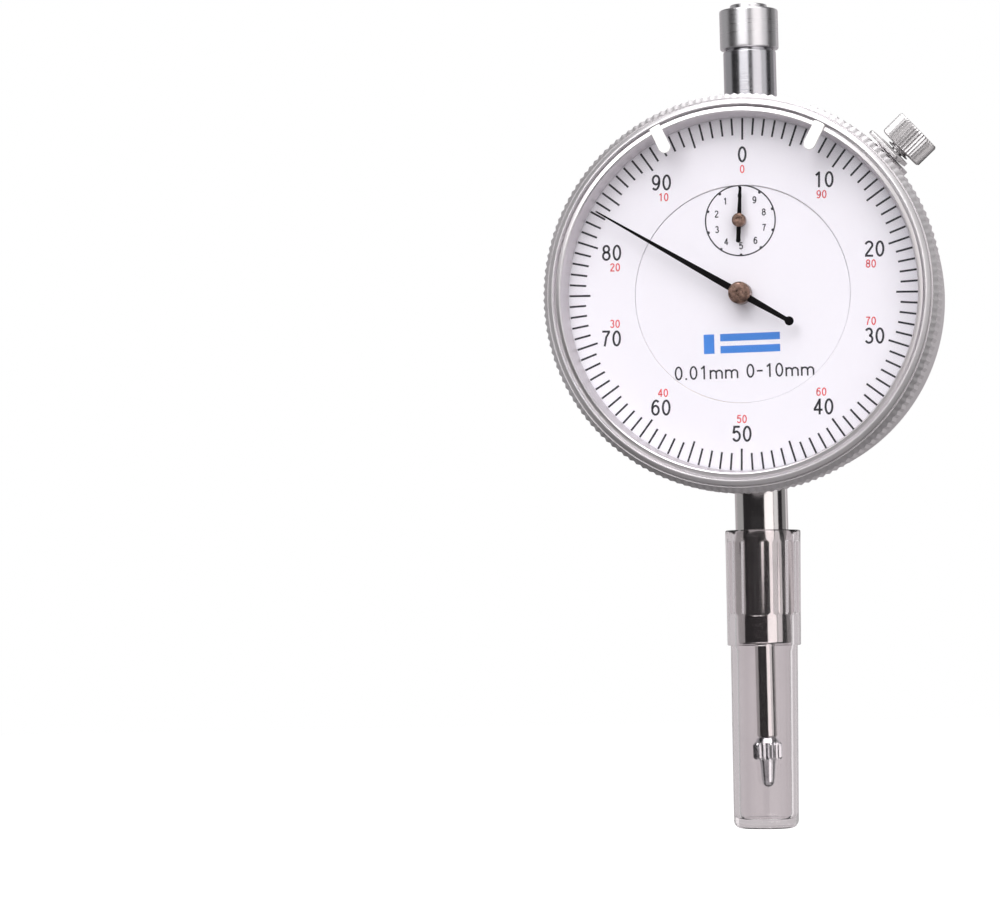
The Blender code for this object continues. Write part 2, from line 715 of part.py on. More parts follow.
def make_hairspring():
    """A flat spiral from the collet on the take-up arbor out to a stud on the middle plate."""
    collet_span = (HAIRSPRING - 0.3 * MM, HAIRSPRING + 0.3 * MM)
    collet_radii = (TAKE_UP_SHAFT_R + RUN, HAIRSPRING_R[0] - TOUCH)
    ring("hairspring_collet", TAKE_UP_AXIS, collet_radii, collet_span, "brass", SMALL_SIDES)
    inner, outer = HAIRSPRING_R
    steps = HAIRSPRING_TURNS * 16
    points = []
    for i in range(steps + 1):
        radius = inner + (outer - inner) * i / steps
        points.append((*polar(radius, TURN * HAIRSPRING_TURNS * i / steps), HAIRSPRING))
    wire("hairspring", TAKE_UP_AXIS, points, HAIRSPRING_WIRE, "steel")
    stud_span = (MIDDLE_PLATE[1] + FIT, GEARS[0] - TOUCH)
    stud = rod("hairspring_stud", TAKE_UP_AXIS, HAIRSPRING_STUD_R, *stud_span, "brass")
    stud.location = (outer + HAIRSPRING_STUD_R, HAIRSPRING_STUD_R + HAIRSPRING_WIRE + FIT, 0)


# Spindle and its guide


def make_spindle():
    chamfer = 0.3 * MM
    stud_bore = CONTACT_STUD_R + FIT
    section = [
        (0, SPINDLE_TOP),
        (SPINDLE_R - chamfer, SPINDLE_TOP),
        (SPINDLE_R, SPINDLE_TOP - chamfer),
        (SPINDLE_R, SPINDLE_BOTTOM + chamfer),
        (SPINDLE_R - chamfer, SPINDLE_BOTTOM),
        (stud_bore, SPINDLE_BOTTOM),
        (stud_bore, SPINDLE_BOTTOM + 5 * MM),
        (0, SPINDLE_BOTTOM + 5 * MM),
    ]
    spindle = turned("spindle", STEM_AXIS, section, "steel", ROD_SIDES)
    # The dial's axis has local Y up, so the notches are drawn there as they are seen.
    cut(spindle, prism("rack_cutter", DIAL_AXIS, rack_notches(), (-SPINDLE_R - MM, SPINDLE_R + MM)))
    pin_span = (-SPINDLE_R - MM, SPINDLE_R + MM)
    cut_hole(spindle, CROSS_AXIS, GUIDE_PIN_R + RUN, pin_span, (0, GUIDE_PIN_HEIGHT))
    return spindle


def make_contact_point():
    collar_low, collar_high = CONTACT_COLLAR
    shoulder = SPINDLE_BOTTOM - FIT
    ball = arc((0, CONTACT_TIP + CONTACT_TIP_R), CONTACT_TIP_R, 0, -math.pi / 2, 5)[:-1]
    section = [
        (0, shoulder + 4 * MM),
        (CONTACT_STUD_R, shoulder + 4 * MM),
        (CONTACT_STUD_R, shoulder),
        (SPINDLE_R - 0.15 * MM, shoulder),
        (CONTACT_COLLAR_R, collar_high),
        (CONTACT_COLLAR_R, collar_low),
        (CONTACT_COLLAR_R - 0.3 * MM, collar_low),
        *ball,
        (0, CONTACT_TIP),
    ]
    return turned("contact_point", STEM_AXIS, section, "steel", 18)


def make_guide_pin():
    pin = rod("guide_pin", CROSS_AXIS, GUIDE_PIN_R, *GUIDE_PIN, "steel")
    pin.location = (0, GUIDE_PIN_HEIGHT, 0)
    return pin


def make_guide_rail():
    """A slotted bar on the middle plate. The guide pin runs in its slot."""
    low = GUIDE_PIN_HEIGHT - GUIDE_PIN_R - TOUCH
    high = GUIDE_PIN_HEIGHT + TRAVEL + GUIDE_PIN_R + TOUCH
    rim = 2.2 * MM
    front = -(MIDDLE_PLATE[0] - TOUCH)
    block = [(front, low - rim), (RAIL_HALF_DEPTH, low - rim), (RAIL_HALF_DEPTH, high + rim), (front, high + rim)]
    slot = [(-SLOT_HALF_WIDTH, low), (SLOT_HALF_WIDTH, low), (SLOT_HALF_WIDTH, high), (-SLOT_HALF_WIDTH, high)]
    rail = prism("guide_rail", CROSS_AXIS, block, RAIL, "brass")
    cut(rail, prism("guide_slot", CROSS_AXIS, slot, (RAIL[0] - MM, RAIL[1] + MM)))
    return rail


def make_return_spring():
    """A coil spring from a post on the middle plate up to the guide pin."""
    low = SPRING_POST_Z + GUIDE_PIN_R + SPRING_WIRE + FIT
    high = GUIDE_PIN_HEIGHT - GUIDE_PIN_R - SPRING_WIRE - FIT
    steps = SPRING_TURNS * 8
    points = []
    for i in range(steps + 1):
        x, y = polar(SPRING_R, TURN * i / 8)
        points.append((SPRING_X + x, y, low + (high - low) * i / steps))
    wire("return_spring", STEM_AXIS, points, SPRING_WIRE, "steel")
    post = rod("spring_post", DIAL_AXIS, GUIDE_PIN_R, -1.6 * MM, MIDDLE_PLATE[0] - TOUCH, "steel")
    post.location = (SPRING_X, SPRING_POST_Z, 0)


# Dials and pointers


def make_dials():
    disc = rod("dial_disc", DIAL_AXIS, DIAL_DISC_R, *DIAL_DISC, "dial_white", RING_SIDES)
    through = (DIAL_DISC[0] - MM, DIAL_DISC[1] + MM)
    cut_hole(disc, DIAL_AXIS, CENTRE_SHAFT_R + 0.3 * MM, through)
    cut_hole(disc, TAKE_UP_AXIS, TAKE_UP_SHAFT_R + 0.3 * MM, through)
    ring("dial_ring", DIAL_AXIS, DIAL_RING_R, DIAL, "dial_white")
    spacer_span = (FRONT_PLATE[1] + TOUCH, DIAL_DISC[0] - TOUCH)
    ring("dial_spacer", DIAL_AXIS, DIAL_SPACER_R, spacer_span, "brass", HIDDEN_RING_SIDES)
    snap_span = (DIAL[0] - TOUCH - 0.3 * MM, DIAL[0] - TOUCH)
    snap_radii = (26.2 * MM, BEZEL_INNER_R - FIT)
    split_ring("dial_snap_ring", DIAL_AXIS, snap_radii, snap_span, "steel", math.radians(25))


def pointer_outline(tip, tip_half, eye_r, neck_half, tail, tail_r):
    """A hand that points up: a tapered blade, a round eye and a tail with a round end."""
    right = [(tip_half, tip)]
    start = math.acos(neck_half / eye_r)
    right += arc((0, 0), eye_r, start, -start, 10)
    tail_start = math.acos(neck_half / tail_r * 0.6)
    right += arc((0, -tail), tail_r, tail_start, -math.pi / 2, 6)[:-1]
    left = [(-x, y) for x, y in reversed(right)]
    return [*right, (0, -tail - tail_r), *left]


def make_main_pointer():
    outline = pointer_outline(MAIN_POINTER_TIP, 0.1 * MM, 1.6 * MM, 0.55 * MM, MAIN_POINTER_TAIL, 0.8 * MM)
    blade = prism("main_pointer", DIAL_AXIS, outline, MAIN_POINTER, "pointer_black")
    blade.rotation_euler.z = MAIN_POINTER_ANGLE
    cut_hole(blade, DIAL_AXIS, 1.0 * MM, (MAIN_POINTER[0] - MM, MAIN_POINTER[1] + MM))
    make_hub("main_pointer_hub", DIAL_AXIS, CENTRE_SHAFT_R, 1.65 * MM, 0.9 * MM, (13.1 * MM, 15.4 * MM), MAIN_POINTER)


def make_small_pointer():
    outline = pointer_outline(SMALL_POINTER_TIP, 0.1 * MM, 0.95 * MM, 0.27 * MM, SMALL_POINTER_TAIL, 0.4 * MM)
    blade = prism("small_pointer", TAKE_UP_AXIS, outline, SMALL_POINTER, "pointer_black")
    cut_hole(blade, TAKE_UP_AXIS, 0.75 * MM, (SMALL_POINTER[0] - MM, SMALL_POINTER[1] + MM))
    span = (12.7 * MM, 14.1 * MM)
    make_hub("small_pointer_hub", TAKE_UP_AXIS, TAKE_UP_SHAFT_R, 1.02 * MM, 0.68 * MM, span, SMALL_POINTER)


def make_hub(name, axis, shaft_r, outer_r, core_r, span, blade):
    """A hub bored from behind for its arbor, with a groove that holds the hand's eye."""
    low, high = span
    section = [
        (0, high),
        (outer_r, high),
        (outer_r, blade[1] + FIT),
        (core_r, blade[1] + FIT),
        (core_r, blade[0] - FIT),
        (outer_r, blade[0] - FIT),
        (outer_r, low),
        (shaft_r + RUN, low),
        (shaft_r + RUN, high - 0.25 * MM),
        (0, high - 0.25 * MM),
    ]
    return turned(name, axis, section, "hub_brass", 18)


# Bezel


def make_bezel_ring():
    chamfer = 0.35 * MM
    groove_r = BEZEL_INNER_R + chamfer
    groove_low, groove_high = WIRE_GROOVE
    knurl_low, knurl_high = KNURL
    flange_low, flange_high = FLANGE
    section = [
        (BEZEL_INNER_R, SKIRT_REAR),
        (SKIRT_R, SKIRT_REAR),
        (SKIRT_R, knurl_low),
        (KNURL_R - chamfer, knurl_low),
        (KNURL_R, knurl_low + chamfer),
        (KNURL_R, knurl_high - chamfer),
        (KNURL_R - chamfer, knurl_high),
        (LIP_R, knurl_high),
        (LIP_R, LIP_FRONT - chamfer),
        (LIP_R - chamfer, LIP_FRONT),
        (LIP_BORE_R, LIP_FRONT),
        (LIP_BORE_R, flange_high),
        (LIP_BORE_R - 0.7 * MM, flange_high),
        (FLANGE_R, flange_low),
        (BEZEL_INNER_R, flange_low),
        (BEZEL_INNER_R, groove_high),
        (groove_r, groove_high),
        (groove_r, groove_low),
        (BEZEL_INNER_R, groove_low),
    ]
    return turned("bezel_ring", DIAL_AXIS, section, "satin_chrome")


def make_bezel_spring_ring():
    """A wire ring in the case's groove that springs out into the bezel's groove."""
    radii = (WIRE_GROOVE_R + FIT, BEZEL_INNER_R + 0.2 * MM)
    span = (WIRE_GROOVE[0] + 0.2 * MM, WIRE_GROOVE[1] - 0.2 * MM)
    split_ring("bezel_spring_ring", DIAL_AXIS, radii, span, "steel", math.radians(25))


def make_crystal():
    rod("crystal", DIAL_AXIS, CRYSTAL_R, *CRYSTAL, "crystal_clear", RING_SIDES)


def make_tolerance_tabs():
    """Limit markers over the window, each with a leg in the gap between window and bezel."""
    half = TAB_HALF_WIDTH
    inner, outer = TAB_LEG_R
    blade = [(half, outer), *reversed(arc((0, TAB_INNER_R + half), half, math.pi, TURN, 10)), (-half, outer)]
    leg = [(half, inner), (half, outer), (-half, outer), (-half, inner)]
    for name, angle in TAB_ANGLES.items():
        tab = prism(name, DIAL_AXIS, blade, TAB, "tab_white")
        leg_span = (CRYSTAL[0] + FIT, TAB[0] + 0.15 * MM)
        foot = prism(f"{name}_leg", DIAL_AXIS, leg, leg_span)
        tab.rotation_euler.z = angle
        foot.rotation_euler.z = angle
        join(tab, foot)


def make_bezel_lock():
    """The lock: a leaf that reaches over the bezel's knurl, and the knurled screw that presses it."""
    half = LEAF_HALF_WIDTH
    rear, front = LEAF
    outline = [(rear, -half), (front, -half), (front, half), (rear, half)]
    leaf = prism("clamp_leaf", CLAMP_AXIS, outline, LEAF_R, "satin_chrome")
    cut_hole(leaf, CLAMP_AXIS, CLAMP_SHANK_R + FIT, (LEAF_R[0] - MM, LEAF_R[1] + MM))
    chamfer = 0.5 * MM
    knob_low, knob_high = CLAMP_KNOB
    collar_low = LEAF_R[1] + TOUCH
    section = [
        (0, CLAMP_SHANK_END),
        (CLAMP_SHANK_R, CLAMP_SHANK_END),
        (CLAMP_SHANK_R, collar_low),
        (CLAMP_COLLAR_R, collar_low),
        (CLAMP_COLLAR_R, knob_low),
        (CLAMP_KNOB_R - chamfer, knob_low),
        (CLAMP_KNOB_R, knob_low + chamfer),
        (CLAMP_KNOB_R, knob_high - chamfer),
        (CLAMP_KNOB_R - chamfer, knob_high),
        (0, knob_high),
    ]
    turned("clamp_screw", CLAMP_AXIS, section, "satin_chrome", ROD_SIDES)


def make_protective_sleeve():
    """A clear sleeve with a closed, rounded end."""
    round_r = 0.9 * MM
    lower_top_r, lower_end_r = SLEEVE_LOWER_R
    corner = (lower_end_r - round_r, SLEEVE_BOTTOM + round_r)
    section = [
        (0, SLEEVE_FLOOR),
        (SLEEVE_LOWER_BORE_R, SLEEVE_FLOOR),
        (SLEEVE_LOWER_BORE_R + 0.1 * MM, SLEEVE_STEP - 0.8 * MM),
        (SLEEVE_BORE_R, SLEEVE_STEP - 0.4 * MM),
        (SLEEVE_BORE_R, SLEEVE_TOP - 0.6 * MM),
        (SLEEVE_BORE_R + 0.4 * MM, SLEEVE_TOP),
        (SLEEVE_UPPER_R[0], SLEEVE_TOP),
        (SLEEVE_UPPER_R[1], SLEEVE_STEP),
        (lower_top_r, SLEEVE_STEP),
        *arc(corner, round_r, 0, -math.pi / 2, 4),
        (0, SLEEVE_BOTTOM),
    ]
    return turned("protective_sleeve", STEM_AXIS, section, "sleeve_clear", 30)


clear_scene()
FINISH = {name: make_finish(name) for name in FINISHES}
STEM_AXIS = axis_empty("spindle_axis", (0, 0, DIAL_HEIGHT), (0, 0, 1), (1, 0, 0))
DIAL_AXIS = dial_side_axis("dial_axis")
TAKE_UP_AXIS = dial_side_axis("take_up_axis", 0, CENTRES)
RACK_ARBOR_AXIS = dial_side_axis("rack_arbor_axis", RACK_ARBOR_X, RACK_ARBOR_Z)
# Along X through the dial's height: local X is backwards and local Y is up.
LUG_AXIS = axis_empty("lug_axis", (0, 0, DIAL_HEIGHT), (1, 0, 0), (0, 1, 0))
CROSS_AXIS = axis_empty("cross_axis", (0, 0, DIAL_HEIGHT), (1, 0, 0), (0, 1, 0))
# Out of the case at the upper right: local X is to the front.
CLAMP_FOOT = (-CLAMP_OFFSET * math.sin(CLAMP_ANGLE), 0, DIAL_HEIGHT + CLAMP_OFFSET * math.cos(CLAMP_ANGLE))
CLAMP_AXIS = axis_empty("clamp_axis", CLAMP_FOOT, (math.cos(CLAMP_ANGLE), 0, math.sin(CLAMP_ANGLE)), (0, -1, 0))

make_case_body()
make_back_cover()
make_cover_screws()
make_stem()
make_upper_tube()
make_dust_cap()
make_front_plate()
make_plate_screws()
make_middle_plate()
make_pillars()
make_bridge_screws()
make_rear_cock()
make_cock_screw()
make_gear_train()
make_take_up_arbor()
make_hairspring()
make_spindle()
make_contact_point()
make_guide_pin()
make_guide_rail()
make_return_spring()
make_dials()
make_main_pointer()
make_small_pointer()
make_bezel_ring()
make_bezel_spring_ring()
make_crystal()
make_tolerance_tabs()
make_bezel_lock()
make_protective_sleeve()
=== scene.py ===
"""A dial indicator's looks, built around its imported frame.

Metres, +Z up, the dial facing -Y. Pieces about the dial's axis are drawn as (radius, front), and
pieces about the spindle's axis as (radius, height over the dial's centre), in millimetres.
"""

import math

import bmesh
import bpy
from mathutils import Matrix, Vector


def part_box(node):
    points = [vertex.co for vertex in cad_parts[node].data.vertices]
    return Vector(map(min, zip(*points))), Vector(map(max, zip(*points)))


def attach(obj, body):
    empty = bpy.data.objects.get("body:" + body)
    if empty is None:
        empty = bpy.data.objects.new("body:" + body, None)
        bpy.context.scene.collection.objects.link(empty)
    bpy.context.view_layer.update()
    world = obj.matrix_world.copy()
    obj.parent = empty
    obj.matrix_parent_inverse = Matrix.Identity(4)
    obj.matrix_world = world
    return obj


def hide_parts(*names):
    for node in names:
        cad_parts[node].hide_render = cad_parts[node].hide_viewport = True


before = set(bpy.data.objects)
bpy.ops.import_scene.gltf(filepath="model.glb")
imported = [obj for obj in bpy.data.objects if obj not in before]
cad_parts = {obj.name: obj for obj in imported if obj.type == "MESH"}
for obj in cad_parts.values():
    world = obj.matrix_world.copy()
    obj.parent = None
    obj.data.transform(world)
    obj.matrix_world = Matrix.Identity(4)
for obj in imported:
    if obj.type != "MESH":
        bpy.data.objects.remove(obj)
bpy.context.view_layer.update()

MM = 0.001
TURN = 2 * math.pi

# Sides of the large and the small round pieces, and the degrees from which an edge is shaded sharp.
SMOOTH = 192
ROUND = 96
SHARP = 35

# The dial's centre, and a floor that the pulled-off sleeve clears.
DIAL_Z = 0.040
FLOOR_Z = DIAL_Z - 0.145

# Teeth and ribs, and how deep the cut is across one tooth, as parts of its depth.
KNURL_TEETH = 164
LOCK_TEETH = 44
CONTACT_TEETH = 22
SLEEVE_RIBS = 14
TOOTH = [0.0, 0.5, 1.0, 0.5]

# How the pieces stand at rest, in degrees anticlockwise as seen from the front.
OUTER_DIAL_TURN = -1.6
LONG_HAND_TURN = 58.6
SHORT_HAND_TURN = -3.5
LEFT_MARKER_TURN = 25.2
RIGHT_MARKER_TURN = -28.0

# The sleeve leans on the stem about the middle of its ribbed upper part, within the ribs' play.
SLEEVE_LEAN = math.radians(0.8)
SLEEVE_GRIP_Z = -44 * MM

# Fronts of the dials' faces in mm, how far print lies above them, and the radius of the numbers.
OUTER_DIAL_FACE = 12.5
INNER_DIAL_FACE = 12.3
PRINT_LIFT = 0.01
NUMBER_R = 20.85

# Frames: local Z is a piece's axis. SMALL is the turn counter's, which the take-up arbor carries, and
# LOCK's passes a little above the dial's centre.


def axis_matrix(place, along, across):
    z = Vector(along).normalized()
    x = Vector(across).normalized()
    matrix = Matrix((x, z.cross(x), z)).transposed().to_4x4()
    matrix.translation = place
    return matrix


def turned(matrix, degrees):
    return matrix @ Matrix.Rotation(math.radians(degrees), 4, "Z")


CENTRE = Vector((0, 0, DIAL_Z))
DIAL = axis_matrix(CENTRE, (0, -1, 0), (1, 0, 0))
STEM = axis_matrix(CENTRE, (0, 0, 1), (1, 0, 0))
SIDE = axis_matrix(CENTRE, (1, 0, 0), (0, 1, 0))
SMALL_Z = sum(corner.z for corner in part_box("take_up_arbor")) / 2
SMALL = axis_matrix((0, 0, SMALL_Z), (0, -1, 0), (1, 0, 0))
LOCK_ANGLE = math.radians(42)
LOCK_OFFSET = 1.2 * MM
LOCK_ALONG = Vector((math.cos(LOCK_ANGLE), 0, math.sin(LOCK_ANGLE)))
LOCK_ACROSS = Vector((-math.sin(LOCK_ANGLE), 0, math.cos(LOCK_ANGLE)))
LOCK = axis_matrix(CENTRE + LOCK_ACROSS * LOCK_OFFSET, LOCK_ALONG, (0, -1, 0))


# Meshes


def polar(radius, angle):
    return (radius * math.cos(angle), radius * math.sin(angle))


def arc(centre, radius, start, end, steps):
    turns = [start + (end - start) * i / steps for i in range(steps + 1)]
    return [(centre[0] + radius * math.cos(a), centre[1] + radius * math.sin(a)) for a in turns]


def rounded(corners, steps=3):
    """An outline from (x, y) or (x, y, rounding) corners: a corner with a rounding becomes a curve."""
    points = []
    count = len(corners)
    for i, corner in enumerate(corners):
        here = Vector(corner[:2])
        size = corner[2] if len(corner) > 2 else 0
        before = Vector(corners[i - 1][:2]) - here
        after = Vector(corners[(i + 1) % count][:2]) - here
        if size <= 0 or before.length < 1e-9 or after.length < 1e-9:
            points.append(tuple(here))
            continue
        size = min(size, before.length * 0.49, after.length * 0.49)
        start = here + before.normalized() * size
        end = here + after.normalized() * size
        for k in range(steps + 1):
            t = k / steps
            point = start * (1 - t) ** 2 + here * 2 * t * (1 - t) + end * t**2
            points.append(tuple(point))
    return points


def weigh_normals(obj):
    """Keeps wide flat faces flat beside rounded edges."""
    normals = obj.modifiers.new("normals", "WEIGHTED_NORMAL")
    normals.mode = "FACE_AREA"
    normals.weight = 100
    normals.keep_sharp = True


def link_object(name, data):
    obj = bpy.data.objects.new(name, data)
    bpy.context.collection.objects.link(obj)
    return obj


def link_mesh(name, mesh):
    data = bpy.data.meshes.new(name)
    mesh.to_mesh(data)
    mesh.free()
    return link_object(name, data)


def shade_smooth(data, sharp=SHARP):
    data.shade_smooth()
    data.set_sharp_from_angle(angle=math.radians(sharp))


def new_object(name, mesh, matrix, material, body, replaced=(), sharp=SHARP):
    """A finished piece of the part, with the body it rides and the CAD nodes it replaces."""
    bmesh.ops.remove_doubles(mesh, verts=mesh.verts, dist=1e-7)
    bmesh.ops.recalc_face_normals(mesh, faces=mesh.faces)
    obj = link_mesh(name, mesh)
    shade_smooth(obj.data, sharp)
    obj.data.materials.append(material)
    obj.matrix_world = matrix
    weigh_normals(obj)
    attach(obj, body)
    if replaced:
        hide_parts(*replaced)
    return obj


def add_lathe(mesh, section, sides, wave=None):
    """Turns a section of (radius, height[, tooth depth]) in mm about Z.

    The wave has one entry a side and repeats: how much of the tooth depth is cut there.
    """
    rows = []
    for point in section:
        radius, height = point[0] * MM, point[1] * MM
        depth = point[2] * MM if len(point) > 2 else 0
        if radius <= 0:
            rows.append([mesh.verts.new((0, 0, height))])
            continue
        row = []
        for j in range(sides):
            r = radius - (depth * wave[j % len(wave)] if depth else 0)
            row.append(mesh.verts.new((*polar(r, TURN * j / sides), height)))
        rows.append(row)
    pairs = list(zip(rows, rows[1:]))
    if len(rows[0]) > 1 or len(rows[-1]) > 1:
        pairs.append((rows[-1], rows[0]))
    for low, high in pairs:
        for j in range(sides):
            k = (j + 1) % sides
            corners = [row[i % len(row)] for row, i in ((low, j), (low, k), (high, k), (high, j))]
            unique = list(dict.fromkeys(corners))
            if len(unique) > 2:
                mesh.faces.new(unique)


def lathe(name, matrix, section, material, body, slot, replaced=(), sides=SMOOTH, wave=None, sharp=SHARP):
    mesh = bmesh.new()
    add_lathe(mesh, section, sides, wave)
    return new_object(name, mesh, matrix, material, body, replaced, sharp)


def add_prism(mesh, outline, low, high):
    ends = []
    for height in (low, high):
        ends.append([mesh.verts.new((x * MM, y * MM, height * MM)) for x, y in outline])
    bottom, top = ends
    mesh.faces.new(bottom[::-1])
    mesh.faces.new(top)
    count = len(outline)
    for j in range(count):
        k = (j + 1) % count
        mesh.faces.new((bottom[j], bottom[k], top[k], top[j]))


def bevel_ends(mesh, offset):
    """Rounds the edges about both ends of a prism by an offset in mm."""
    edges = [e for e in mesh.edges if abs(e.verts[0].co.z - e.verts[1].co.z) < 1e-9]
    bmesh.ops.bevel(mesh, geom=edges, offset=offset * MM, segments=3, profile=0.5, affect="EDGES")


def prism(name, matrix, outline, low, high, bevel, material, body, slot, replaced=()):
    mesh = bmesh.new()
    add_prism(mesh, outline, low, high)
    bevel_ends(mesh, bevel)
    return new_object(name, mesh, matrix, material, body, replaced)


def oval(x, y, rx, ry, start, end, steps=18):
    """Part of an ellipse, in degrees anticlockwise from the right."""
    turns = [math.radians(start + (end - start) * i / steps) for i in range(steps + 1)]
    return [(x + rx * math.cos(a), y + ry * math.sin(a)) for a in turns]


def character(letter):
    """(advance, strokes) of a character in a plain narrow face, its digits 1 high about their middle."""
    strokes = {
        "0": [oval(0, 0, 0.215, 0.445, 0, 360, 32)],
        "1": [[(-0.16, 0.26), (0.045, 0.44)], [(0.045, 0.5), (0.045, -0.5)]],
        "2": [[*oval(0, 0.235, 0.21, 0.21, 170, -25), (-0.2, -0.40)], [(-0.26, -0.445), (0.26, -0.445)]],
        "3": [oval(-0.01, 0.225, 0.19, 0.22, 155, -85), oval(0, -0.215, 0.215, 0.23, 88, -158)],
        "4": [[(0.1, 0.5), (0.1, -0.5)], [(0.1, 0.44), (-0.24, -0.2)], [(-0.28, -0.2), (0.28, -0.2)]],
        "5": [[(0.22, 0.445), (-0.13, 0.445), (-0.19, 0.02)], oval(0, -0.15, 0.22, 0.295, 142, -155)],
        "6": [oval(0, -0.165, 0.21, 0.28, 0, 360, 28), oval(0.04, -0.06, 0.25, 0.505, 190, 52)],
        "7": [[(-0.25, 0.445), (0.25, 0.445)], [(0.21, 0.43), (0.02, 0.1), (-0.09, -0.5)]],
        "8": [oval(0, 0.235, 0.18, 0.21, 0, 360, 28), oval(0, -0.205, 0.215, 0.24, 0, 360, 28)],
        "9": [oval(0, 0.165, 0.21, 0.28, 0, 360, 28), oval(-0.04, 0.06, 0.25, 0.505, 10, -128)],
        ".": [[(0, -0.5), (0, -0.37)]],
        "-": [[(-0.2, -0.02), (0.2, -0.02)]],
        "m": [
            [(-0.4, 0.16), (-0.4, -0.5)],
            [*oval(-0.2, -0.09, 0.2, 0.2, 170, 0, 10), (0.0, -0.5)],
            [*oval(0.2, -0.09, 0.2, 0.2, 170, 0, 10), (0.4, -0.5)],
        ],
    }
    advance = {".": 0.34, "-": 0.60, "m": 1.06, " ": 0.42}
    return advance.get(letter, 0.69), strokes.get(letter, [])


def add_stroke(mesh, points, width, height):
    """A flat ribbon of constant width along the points, in mm."""
    closed = math.dist(points[0], points[-1]) < 1e-6
    if closed:
        points = points[:-1]
    count = len(points)
    sides = []
    for i, point in enumerate(points):
        before = points[i - 1] if closed or i else point
        after = points[(i + 1) % count] if closed or i < count - 1 else point
        first = Vector(point) - Vector(before)
        second = Vector(after) - Vector(point)
        first = first.normalized() if first.length else second.normalized()
        second = second.normalized() if second.length else first
        along = (first + second).normalized()
        reach = width / 2 / max(0.5, along.dot(first))
        across = Vector((-along.y, along.x)) * reach
        for side in (-1, 1):
            x, y = Vector(point) + across * side
            sides.append(mesh.verts.new((x * MM, y * MM, height * MM)))
    for i in range(count if closed else count - 1):
        k = (i + 1) % count
        mesh.faces.new((sides[2 * i], sides[2 * k], sides[2 * k + 1], sides[2 * i + 1]))


def add_flat(mesh, points, faces, height):
    verts = [mesh.verts.new((x * MM, y * MM, height * MM)) for x, y in points]
    for face in faces:
        mesh.faces.new([verts[i] for i in face])


def add_text(mesh, text, size, x, y, height, bold=0.135, wide=1.0):
    """Text about (x, y), its digits size mm high."""
    drawn = [character(letter) for letter in text]
    pen = x - sum(advance for advance, _ in drawn) * size * wide / 2
    for advance, strokes in drawn:
        pen += advance * size * wide / 2
        for stroke in strokes:
            points = [(pen + a * size * wide, y + b * size) for a, b in stroke]
            add_stroke(mesh, points, bold * size, height)
        pen += advance * size * wide / 2


def add_bar(mesh, centre, angle, length, width, height):
    """A printed bar, with its length along the angle."""
    along = Vector(polar(length / 2, angle))
    across = Vector(polar(width / 2, angle + math.pi / 2))
    signs = ((-1, -1), (1, -1), (1, 1), (-1, 1))
    corners = [Vector(centre) + along * i + across * j for i, j in signs]
    add_flat(mesh, corners, [[0, 1, 2, 3]], height)


def add_ring(mesh, centre, inner, outer, height, sides=ROUND):
    points = []
    faces = []
    for j in range(sides):
        k = (j + 1) % sides
        points += [Vector(centre) + Vector(polar(radius, TURN * j / sides)) for radius in (inner, outer)]
        faces.append([2 * j, 2 * j + 1, 2 * k + 1, 2 * k])
    add_flat(mesh, points, faces, height)


# Materials


